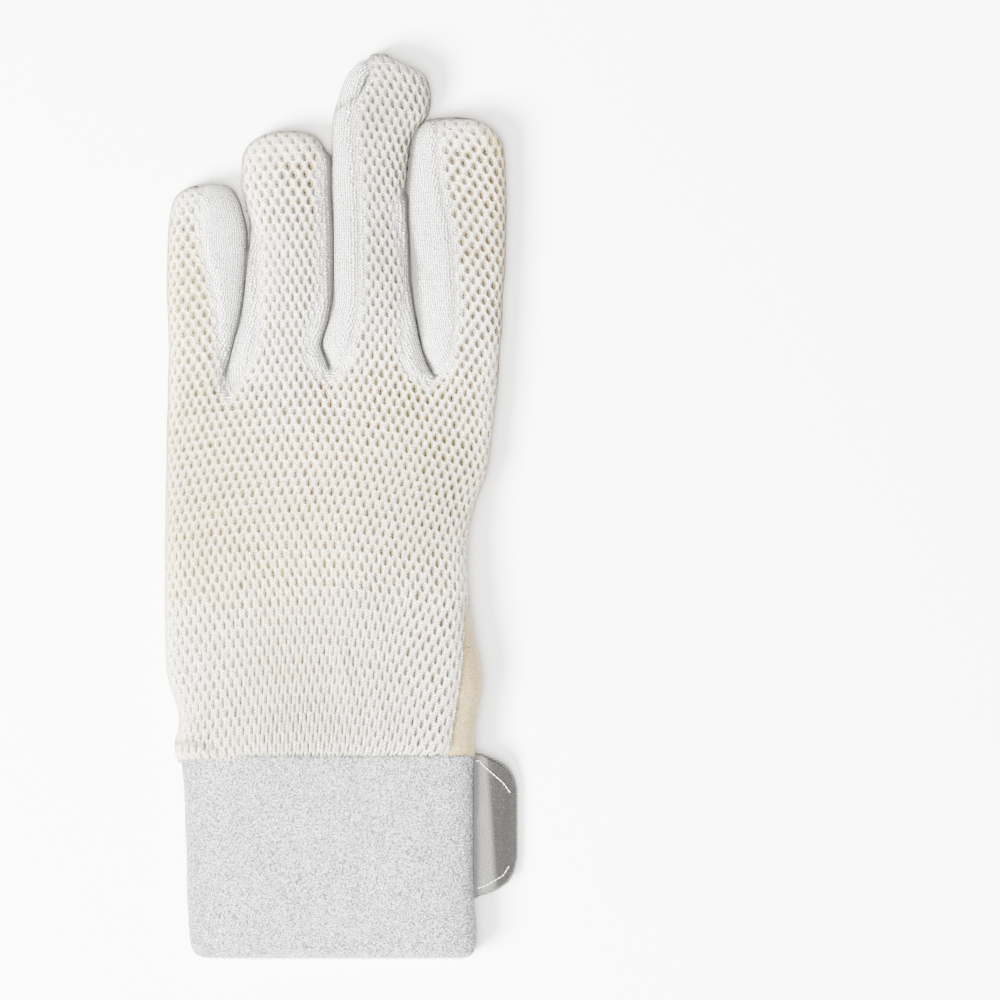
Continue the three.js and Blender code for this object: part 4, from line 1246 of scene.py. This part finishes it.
def section_ring(left, right, crown, base, seam, square, steps, over_steps=None):
    """Closed sections: a superellipse above the seam and a squarer, flat footed one below, with
    steps spread evenly along each, or over_steps of them above and the others below."""
    half = 720
    angle = np.linspace(0, 2 * np.pi, 2 * half + 1)
    c, s = np.cos(angle), np.sin(angle)
    power = np.where(s >= 0, square, UNDERSIDE_SQUARE)
    wide = np.sign(c) * np.abs(c) ** (2 / power)
    high = np.abs(s) ** (2 / power)
    x = (left + right)[:, None] / 2 + (right - left)[:, None] / 2 * wide
    up = seam + (crown[:, None] - seam) * high
    down = seam - (seam - base[:, None]) * np.minimum(1, UNDERSIDE_REACH * high)
    z = np.where(s >= 0, up, down)
    xs, zs = [], []
    for row_x, row_z, run in zip(x, z, length_to(x, z)):
        even = np.linspace(0, run[-1], steps, endpoint=False)
        if over_steps:
            even = np.concatenate([
                np.linspace(0, run[half], over_steps, endpoint=False),
                np.linspace(run[half], run[-1], steps - over_steps, endpoint=False),
            ])
        xs.append(np.interp(even, run, row_x))
        zs.append(np.interp(even, run, row_z))
    return np.stack(xs), np.stack(zs)


def value_noise(random, u, v, wrap):
    """Smooth noise from 0 to 1: random values at whole numbers, blended between them."""
    table = random.random((wrap, wrap))
    i, j = np.floor(u).astype(int), np.floor(v).astype(int)
    rows, columns = (i % wrap, (i + 1) % wrap), (j % wrap, (j + 1) % wrap)
    return blend(table, rows, columns, smooth_step(u - i), smooth_step(v - j))


def cuff_section(y):
    """Left, right and crown of the cuff at y."""
    return tuple(follow(CUFF, column, y) for column in (1, 2, 3))


def cuff_surface(sizes):
    """The towelling band: its outer side, round rims and inner side as one closed skin, raised
    in short slanting loops."""
    steps, over_steps, outer_rows, inner_rows = 480, 360, 168, 8
    rim = sizes.cuff_wall / MM / 2
    first_y, last_y = CUFF[0, 0] + 0.5, CUFF[-1, 0] + 1.2
    turn = np.linspace(0, np.pi, 9)[1:-1]
    y = np.concatenate([
        np.linspace(first_y, last_y, outer_rows), last_y - 1.2 * np.sin(turn),
        np.linspace(last_y, first_y, inner_rows), first_y + 0.6 * np.sin(turn),
    ])
    inset = np.concatenate([np.zeros(outer_rows), rim * (1 - np.cos(turn)),
                            np.full(inner_rows, 2 * rim), rim * (1 + np.cos(turn))])
    left, right, crown = cuff_section(y)
    left, right, crown = left + inset, right - inset, crown - inset
    x, z = section_ring(left, right, crown, inset, CUFF_SEAM, CUFF_SQUARE, steps, over_steps)
    random = np.random.default_rng(5)
    u, v = -length_to(x[60], z[60])[None, :], y[:, None]
    along, aside = u * 0.62 + v * 0.78, u * 0.78 - v * 0.62
    loop_length, loop_width = 0.7, 0.4
    wave_width, wave_length, wave_height = 7.0, 9.0, 0.35
    loops = value_noise(random, along / loop_length, aside / loop_width, 256)
    slow = value_noise(random, *np.broadcast_arrays(u / wave_width, v / wave_length), 64) - 0.5
    out = np.where(inset < rim, 1.0, 0.0)[:, None]
    lift = out * ((loops - 0.6) * (sizes.pile / MM) + slow * wave_height)
    across_x = np.roll(x, -1, axis=1) - np.roll(x, 1, axis=1)
    across_z = np.roll(z, -1, axis=1) - np.roll(z, 1, axis=1)
    length = np.maximum(np.hypot(across_x, across_z), 1e-6)
    x = x + lift * across_z / length
    z = np.maximum(z - lift * across_x / length, 0.0)
    # Painted shade where the band turns down at its left and right sides
    from_left, from_right = x - left[:, None], right[:, None] - x
    edge = 0.35 * smooth_step(1 - from_left / 8.0) + 0.2 * smooth_step(1 - from_right / 8.0)
    quads = grid_quads(len(y), steps, wrap_rows=True, wrap_columns=True)
    return cloud(x, v, z), quads, {"pile": loops.ravel(), "edge": edge.ravel()}


def cuff_top(x, y):
    """Height of the towelling's outer side over x and y."""
    left, right, crown = cuff_section(y)
    return CUFF_SEAM + (crown - CUFF_SEAM) * arch(across(left, right, 0.5, x), CUFF_SQUARE)


def tube_along(path, radius, sides):
    """A round tube along a path, with its ends drawn to points."""
    way = np.gradient(path, axis=0)
    way /= np.linalg.norm(way, axis=1, keepdims=True)
    aside = np.cross(way, np.array([0.0, 0.0, 1.0]))
    aside /= np.maximum(np.linalg.norm(aside, axis=1, keepdims=True), 1e-6)
    over = np.cross(aside, way)
    angle = np.linspace(0, 2 * np.pi, sides, endpoint=False)[None, :, None]
    size = np.full(len(path), radius)
    size[[0, -1]] = radius * 0.02
    ring = aside[:, None, :] * np.cos(angle) + over[:, None, :] * np.sin(angle)
    points = path[:, None, :] + ring * size[:, None, None]
    quads = grid_quads(len(path), sides, wrap_columns=True)[:, ::-1]
    return points.reshape(-1, 3), quads


def outline_path():
    """The line round the glove where the back meets the palm, from the wrist's left side round
    every finger to where the leather comes up."""
    turns = (30.0, 32.6, 39.4, 37.5, 30.0)  # y at which it goes from one finger to the next
    side = np.linspace(MOUTH + 0.6, 29.0, 70)
    parts = [(hand_edges(side)[0], side)]
    for finger, low_left, low_right in zip(FINGERS.values(), turns, turns[1:]):
        tip = tip_of(finger["rows"])
        rising = rows_from_tip(tip, 0.0, 16, low_left, 60)[::-1]
        falling = rows_from_tip(tip, 0.0, 16, low_right, 60)
        parts.append((tube_edges(finger["rows"], rising)[0], rising))
        parts.append((tube_edges(finger["rows"], falling)[1], falling))
    side = np.linspace(29.0, -26.0, 50)
    parts.append((hand_edges(side)[1], side))
    return evened(np.concatenate(parts, axis=1).T, 0.7, 3)[0]


def length_property(name, description, default):
    return FloatProperty(name=name, description=description, default=default, unit="LENGTH")


class GloveSizes(bpy.types.PropertyGroup):
    columns: IntProperty(name="Mesh columns", description="Holes across the back of the hand",
                         default=38, min=12)
    row_spacing: length_property("Row spacing", "Between rows of mesh holes", 0.00245)
    jersey_puff: length_property("Jersey puff", "How far the jersey stands proud", 0.00055)
    jersey_wall: length_property("Jersey wall", "Thickness of the jersey", 0.0008)
    leather_wall: length_property("Leather wall", "Thickness of the leather", 0.001)
    cuff_wall: length_property("Cuff wall", "Thickness of the doubled towelling", 0.0024)
    pile: length_property("Pile", "Height of the towelling's loops", 0.0003)
    welt: length_property("Welt", "Radius of the welt at the palm seam", 0.00045)


def colour_property(name, description, hex_colour):
    return FloatVectorProperty(name=name, description=description, default=linear(hex_colour),
                               subtype="COLOR", size=3, min=0.0, max=1.0)


class GloveColours(bpy.types.PropertyGroup):
    mesh_white: colour_property("Mesh white", "Clean cotton mesh", "#fdf8ee")
    mesh_cream: colour_property("Mesh cream", "Worn cotton mesh", "#f6e4bb")
    mesh_shade: colour_property("Mesh shade", "Mesh in its holes and folds", "#5c574d")
    # Painted shade in the mesh holes, tan as the leather inside them
    mesh_tan_shade: colour_property("Mesh tan", "Mesh holes where it is worn", "#826c35")
    jersey_white: colour_property("Jersey white", "Clean jersey", "#f8f7f6")
    jersey_warm: colour_property("Jersey warm", "Jersey where it has yellowed", "#f4eee7")
    jersey_shade: colour_property("Jersey shade", "Jersey between its stitches", "#5b5955")
    # Painted shade deep between the fingers
    crease: colour_property("Crease", "Jersey deep between the fingers", "#4c4740")
    leather: colour_property("Leather", "Cream leather", "#8f7d54")
    leather_deep: colour_property("Leather deep", "Leather where it is darker", "#7f6840")
    leather_light: colour_property("Leather light", "Leather's raised grain", "#ab9b72")
    towel_white: colour_property("Towel white", "Tips of the towelling loops", "#f4f2f3")
    towel_cool: colour_property("Towel cool", "Towelling in the shade", "#e9e8ea")
    towel_shade: colour_property("Towel shade", "Gaps between the loops", "#5a5859")
    hem_blue: colour_property("Hem blue", "Overlocked edge", "#b9c1cf")
    strap_grey: colour_property("Strap grey", "Woven strap end", "#6f6d68")
    hook_grey: colour_property("Hook grey", "Nylon hook tape", "#5f5e5a")
    # Painted shade where the hook tape bends away; also the dark of the strap's rib
    hook_dark: colour_property("Hook dark", "Hook tape where it bends away", "#302d2b")
    # Painted highlight on the hook tips
    hook_highlight: colour_property("Hook pale", "Tips of the hooks", "#96958f")
    # Painted shade inside the needle holes
    needle_shade: colour_property("Needle dark", "Inside of the needle holes", "#5c4a34")
    floor: colour_property("Floor", "Plain pale floor", "#ffffff")


def settings():
    scene = bpy.context.scene
    return scene.glove_sizes, scene.glove_colours


class GLOVE_OT_stage(bpy.types.Operator):
    """Sets the camera straight above, the pale floor and the soft light"""
    bl_idname = "glove.stage"
    bl_label = "Stage"

    SENSOR = 36.0
    PIXEL = 0.28  # millimetres of the floor in one of the picture's 1000 pixels
    CENTRE = (44.7, 1.5)  # the picture's centre on the floor, in millimetres
    AWAY = 2.2  # metres from the glove's seam to the camera
    FLOOR = 3.0  # metres from the floor's middle to its sides
    # Each lamp: its name, place, size in metres and power in watts
    LAMPS = (("key", (-1.0, -0.65, 1.2), 0.8, 290.0), ("over", (-0.1, -0.2, 1.7), 0.9, 85.0))
    SKY = 0.7

    def place_camera(self, context):
        camera = bpy.data.cameras.new("camera")
        camera.sensor_width = self.SENSOR
        camera.lens = self.SENSOR * self.AWAY / (1000 * self.PIXEL * MM)
        camera.clip_end = 20.0
        holder = bpy.data.objects.new("camera", camera)
        holder.location = (self.CENTRE[0] * MM, self.CENTRE[1] * MM, self.AWAY + SEAM * MM)
        context.scene.collection.objects.link(holder)
        context.scene.camera = holder

    def lay_floor(self, colour):
        corners = np.array([[-1, -1, 0], [1, -1, 0], [1, 1, 0], [-1, 1, 0]]) * self.FLOOR / MM
        floor = mesh_piece("floor", corners, np.array([[0, 1, 2, 3]]))
        material, node = new_material("matt paper")
        floor.data.materials.append(shaded(material, node, {
            "Base Color": colour, "Roughness": 0.9, "Specular IOR Level": 0.1,
        }))

    def light(self, context):
        for name, place, size, power in self.LAMPS:
            light = bpy.data.lights.new(name, "AREA")
            light.shape = "DISK"
            light.size = size
            light.energy = power
            lamp = bpy.data.objects.new(name, light)
            lamp.location = place
            lamp.rotation_euler = Vector(place).to_track_quat("Z", "Y").to_euler()
            context.scene.collection.objects.link(lamp)
        world = bpy.data.worlds.new("studio")
        world.use_nodes = True
        sky = world.node_tree.nodes["Background"]
        sky.inputs[0].default_value = (1.0, 1.0, 1.0, 1.0)
        sky.inputs[1].default_value = self.SKY
        context.scene.world = world

    def execute(self, context):
        _, colours = settings()
        self.place_camera(context)
        self.lay_floor(colours.floor)
        self.light(context)
        return {"FINISHED"}


class GLOVE_OT_back(bpy.types.Operator):
    """Knits the back of the hand and the backs of the fingers in open cotton mesh"""
    bl_idname = "glove.back"
    bl_label = "Mesh back"

    def execute(self, context):
        sizes, colours = settings()
        knit = MeshBack(sizes)
        kept = knit.centres()
        material = cotton_mesh_material(colours)
        for name, cells in (("back_mesh_hand", kept[0::2]), ("back_mesh_fingers", kept[1::2])):
            obj = mesh_piece(name, *knit.cells(cells), weld=0.03)
            finish_piece(obj, material, ("back_panel",))
        return {"FINISHED"}


class GLOVE_OT_strips(bpy.types.Operator):
    """Sews the jersey strips between the fingers"""
    bl_idname = "glove.strips"
    bl_label = "Jersey strips"

    def execute(self, context):
        sizes, colours = settings()
        material = jersey_material(colours)
        for node, strip in STRIPS.items():
            points, uv, values = strip_surface(strip, sizes.jersey_puff / MM)
            obj = mesh_piece(node + "_jersey", points.reshape(-1, 3),
                             grid_quads(*points.shape[:2]), uv.reshape(-1, 2), values)
            thicken(obj, sizes.jersey_wall / MM)
            finish_piece(obj, material, (node,))
        return {"FINISHED"}


class GLOVE_OT_palm(bpy.types.Operator):
    """Cuts the palm and finger fronts in leather, with the needle holes of its seam"""
    bl_idname = "glove.palm"
    bl_label = "Leather palm"

    NEEDLE_HOLES = ((36.0, -39.7), (32.7, -56.8), (31.3, -60.7), (30.8, -64.3), (30.5, -66.2))
    # The dot of painted shade in a needle hole: radius, height over the leather
    DOT = np.array([[0.02, 0.12], [0.3, 0.1], [0.34, -0.3], [0.02, -0.3]])

    def execute(self, context):
        sizes, colours = settings()
        obj = mesh_piece("palm_leather", *palm_surface(), weld=0.05)
        thicken(obj, sizes.leather_wall / MM)
        finish_piece(obj, leather_material(colours), ("palm_panel",))
        radius, rise = self.DOT[:, :1], self.DOT[:, 1:]
        angle = np.linspace(0, 2 * np.pi, 10, endpoint=False)
        quads = grid_quads(4, 10, wrap_columns=True)[:, ::-1]
        parts = []
        for x, y in self.NEEDLE_HOLES:
            z = top(np.array([x]), np.array([y]))[0] + rise
            parts.append((cloud(x + radius * np.cos(angle), y + radius * np.sin(angle), z), quads))
        holes = mesh_piece("leather_needle_holes", *join_parts(parts))
        finish_piece(holes, needle_hole_material(colours))
        return {"FINISHED"}


class GLOVE_OT_thumb(bpy.types.Operator):
    """Sews the leather thumb that is folded under the palm"""
    bl_idname = "glove.thumb"
    bl_label = "Thumb"

    def execute(self, context):
        sizes, colours = settings()
        ys = rows_from_tip(tip_of(THUMB), 0.004, 18, THUMB[-1, 0], 60)
        full = round_end(THUMB, ys, 7.0)
        crown = THUMB_SEAM + (THUMB_CROWN - THUMB_SEAM) * full
        base = THUMB_SEAM - THUMB_SEAM * full
        x, z = section_ring(*tube_edges(THUMB, ys), crown, base, THUMB_SEAM, THUMB_SQUARE, 72)
        quads = grid_quads(*x.shape, wrap_columns=True)
        obj = mesh_piece("thumb_leather", cloud(x, ys[:, None], z), quads, weld=0.05)
        thicken(obj, sizes.leather_wall / MM)
        finish_piece(obj, leather_material(colours), ("thumb",))
        return {"FINISHED"}


class GLOVE_OT_cuff(bpy.types.Operator):
    """Makes the towelling cuff, the tufts at its upper edge and its overlocked hem"""
    bl_idname = "glove.cuff"
    bl_label = "Cuff"

    def tufts(self):
        """Short loops of yarn that lie over the mesh's end, each bent over half a turn."""
        random = np.random.default_rng(23)
        bend = np.linspace(0.1 * np.pi, np.pi, 7)
        tufts = []
        for x in np.arange(-26.0, 36.0, 0.5) + random.uniform(-0.35, 0.35, 124):
            reach = random.uniform(0.2, 0.7)
            px = x + random.uniform(-0.7, 0.3) * np.cos(bend)
            py = CUFF[0, 0] + random.uniform(0.3, 0.8) + reach * np.cos(bend)
            pz = cuff_top(px, py) + random.uniform(0.15, 0.4) * np.sin(bend)
            tufts.append(tube_along(cloud(px, py, pz), random.uniform(0.14, 0.24), 6))
        return join_parts(tufts)

    def hem(self):
        """The overlocked ring at the cuff's lower edge."""
        turn = np.linspace(0, 2 * np.pi, 10, endpoint=False)
        inset = 1.9 + 0.8 * np.cos(turn)
        y = CUFF[-1, 0] + 0.1 + 0.55 * np.sin(turn)
        x, z = section_ring(CUFF[-1, 1] + inset, CUFF[-1, 2] - inset, CUFF[-1, 3] - inset, inset,
                            CUFF_SEAM, CUFF_SQUARE, 220)
        return cloud(x, y[:, None], z), grid_quads(*x.shape, wrap_rows=True, wrap_columns=True)

    def execute(self, context):
        sizes, colours = settings()
        points, quads, values = cuff_surface(sizes)
        obj = mesh_piece("cuff_towelling", points, quads, values=values)
        finish_piece(obj, towelling_material(colours), ("cuff_band",))
        edge = mesh_piece("cuff_edge_tufts", *self.tufts())
        finish_piece(edge, towelling_material(colours))
        hem = mesh_piece("cuff_hem", *self.hem())
        finish_piece(hem, overlock_material(colours))
        return {"FINISHED"}


class GLOVE_OT_strap(bpy.types.Operator):
    """Makes the strap end, its hook tape and the stitching that holds it"""
    bl_idname = "glove.strap"
    bl_label = "Strap end"

    CLOTH_WALL = 1.2
    TAPE_WALL = 0.7
    TAPE_LIFT = 0.9
    THREAD_LIFT = 1.72  # from the strap's underside to the middle of the thread on the tape
    PITCH = 1.25
    STITCH = 1.15
    # Corners of the two lines of stitches, as x, y
    THREADS = (np.array([[37.9, -71.5], [39.0, -71.4], [39.9, -72.6], [45.5, -77.6], [47.6, -80.5]]),
               np.array([[38.4, -107.1], [41.0, -106.2], [45.6, -103.6], [47.6, -100.5]]))

    def sheet(self, name, inset, lift, wall):
        """A layer of the strap end: rows across it, following its droop, with painted shade by how far
        each point is past the fold where it bends away."""
        xs = np.linspace(TAB_ENDS[0, 0], TAB_ENDS[-1, 0] - inset, 130)
        low = follow(TAB_ENDS, 1, xs + inset) + inset
        high = follow(TAB_ENDS, 2, xs + inset) - inset
        y = between(low, high, np.linspace(0, 1, 60))
        x = np.broadcast_to(xs[:, None], y.shape)
        points = cloud(x, y, follow(TAB_DROOP, 1, x) + lift)
        # Painted shade past the fold, where the tape bends away from the light
        fold = 41.0 + (-72.7 - y) * 0.068
        bend_shade = smooth_step((x - fold + 1.0) / 1.8).ravel()
        obj = mesh_piece(name, points, grid_quads(*y.shape), points[:, :2], {"bend_shade": bend_shade})
        thicken(obj, wall)
        return obj

    def stitches(self):
        """A row of short threads along each line, each a little arched."""
        parts = []
        for corners in self.THREADS:
            run = length_to(*corners.T)
            for start in np.arange(0.0, run[-1] - 0.8, self.PITCH):
                way = np.linspace(start, start + self.STITCH, 9)
                xs, ys = (np.interp(way, run, part) for part in corners.T)
                zs = follow(TAB_DROOP, 1, xs) + self.THREAD_LIFT
                zs = zs + 0.14 * np.sin(np.linspace(0, np.pi, 9))
                parts.append(tube_along(cloud(xs, ys, zs), 0.12, 6))
        return join_parts(parts)

    def execute(self, context):
        _, colours = settings()
        tab = self.sheet("closure_tab_cloth", 0.0, 0.0, self.CLOTH_WALL)
        finish_piece(tab, strap_material(colours), ("closure_tab",))
        tape = self.sheet("hook_tape_nylon", 0.35, self.TAPE_LIFT, self.TAPE_WALL)
        finish_piece(tape, hook_material(colours), ("hook_tape",))
        thread = mesh_piece("strap_stitches", *self.stitches())
        white = thread_material("white sewing thread", colours.mesh_white, colours.towel_cool)
        finish_piece(thread, white)
        return {"FINISHED"}


class GLOVE_OT_welt(bpy.types.Operator):
    """Sews the narrow welt where the back meets the palm, and the tape inside its sides and tips"""
    bl_idname = "glove.welt"
    bl_label = "Seam welt"

    TAPE_LOW = 0.375  # how far below the seam's height the tape begins
    TAPE_RADIUS = 0.35
    SIDES = (1.15, 4.5)  # the tape at the sides: how far in, and its height over its width
    TIPS = (1.6, 3.7)  # the same round the fingertips

    def tape(self, path, inwards):
        """Upright bands inside the outer sides, and round the last 9 mm of each finger."""
        tips = np.array([tip_of(finger["rows"]) for finger in FINGERS.values()])
        whose = np.searchsorted(BETWEEN_FINGERS, path[:, 0])
        near = tips[whose] - path[:, 1] < 9.0
        high = np.nonzero(path[:, 1] > 80.0)[0]
        bands = [(slice(0, high[0]), *self.SIDES), (slice(high[-1], None), *self.SIDES)]
        bands += [(near & (whose == k), *self.TIPS) for k in range(len(tips))]
        parts = []
        for band, inset, tall in bands:
            line = np.column_stack([path + inwards * inset, np.full(len(path), SEAM)])[band]
            tape, quads = tube_along(line, self.TAPE_RADIUS, 8)
            tape[:, 2] = SEAM - self.TAPE_LOW + tall * (tape[:, 2] - SEAM + self.TAPE_RADIUS)
            parts.append((tape, quads))
        return join_parts(parts)

    def execute(self, context):
        sizes, colours = settings()
        radius = sizes.welt / MM
        path = outline_path()
        way = np.gradient(path, axis=0)
        way /= np.linalg.norm(way, axis=1, keepdims=True)
        inwards = np.stack([way[:, 1], -way[:, 0]], axis=1)
        line = np.column_stack([path + inwards * radius * 1.3, np.full(len(path), SEAM - 0.3)])
        obj = mesh_piece("seam_welt", *tube_along(line, radius, 8))
        # The thread's grey is painted shade along the outline
        grey = thread_material("seam thread in painted shade", colours.hem_blue, colours.jersey_shade)
        finish_piece(obj, grey)
        tape = mesh_piece("seam_tape", *self.tape(path, inwards))
        cream = thread_material("cream seam tape", colours.mesh_white, colours.mesh_cream)
        finish_piece(tape, cream)
        return {"FINISHED"}


class GLOVE_PT_panel(bpy.types.Panel):
    """Lists the glove's pieces in the order that they are made"""
    bl_idname = "GLOVE_PT_panel"
    bl_label = "Inner Glove"
    bl_space_type = "VIEW_3D"
    bl_region_type = "UI"
    bl_category = "Inner Glove"

    def draw(self, context):
        for operator in OPERATORS:
            self.layout.operator(operator.bl_idname)


OPERATORS = (GLOVE_OT_stage, GLOVE_OT_back, GLOVE_OT_strips, GLOVE_OT_palm, GLOVE_OT_thumb,
             GLOVE_OT_cuff, GLOVE_OT_strap, GLOVE_OT_welt)
CLASSES = (GloveSizes, GloveColours, *OPERATORS, GLOVE_PT_panel)


def register():
    for cls in CLASSES:
        bpy.utils.register_class(cls)
    bpy.types.Scene.glove_sizes = PointerProperty(type=GloveSizes)
    bpy.types.Scene.glove_colours = PointerProperty(type=GloveColours)


def unregister():
    del bpy.types.Scene.glove_colours
    del bpy.types.Scene.glove_sizes
    for cls in reversed(CLASSES):
        bpy.utils.unregister_class(cls)


def main():
    register()
    for operator in OPERATORS:
        group, name = operator.bl_idname.split(".")
        getattr(getattr(bpy.ops, group), name)()


if __name__ == "__main__":
    main()
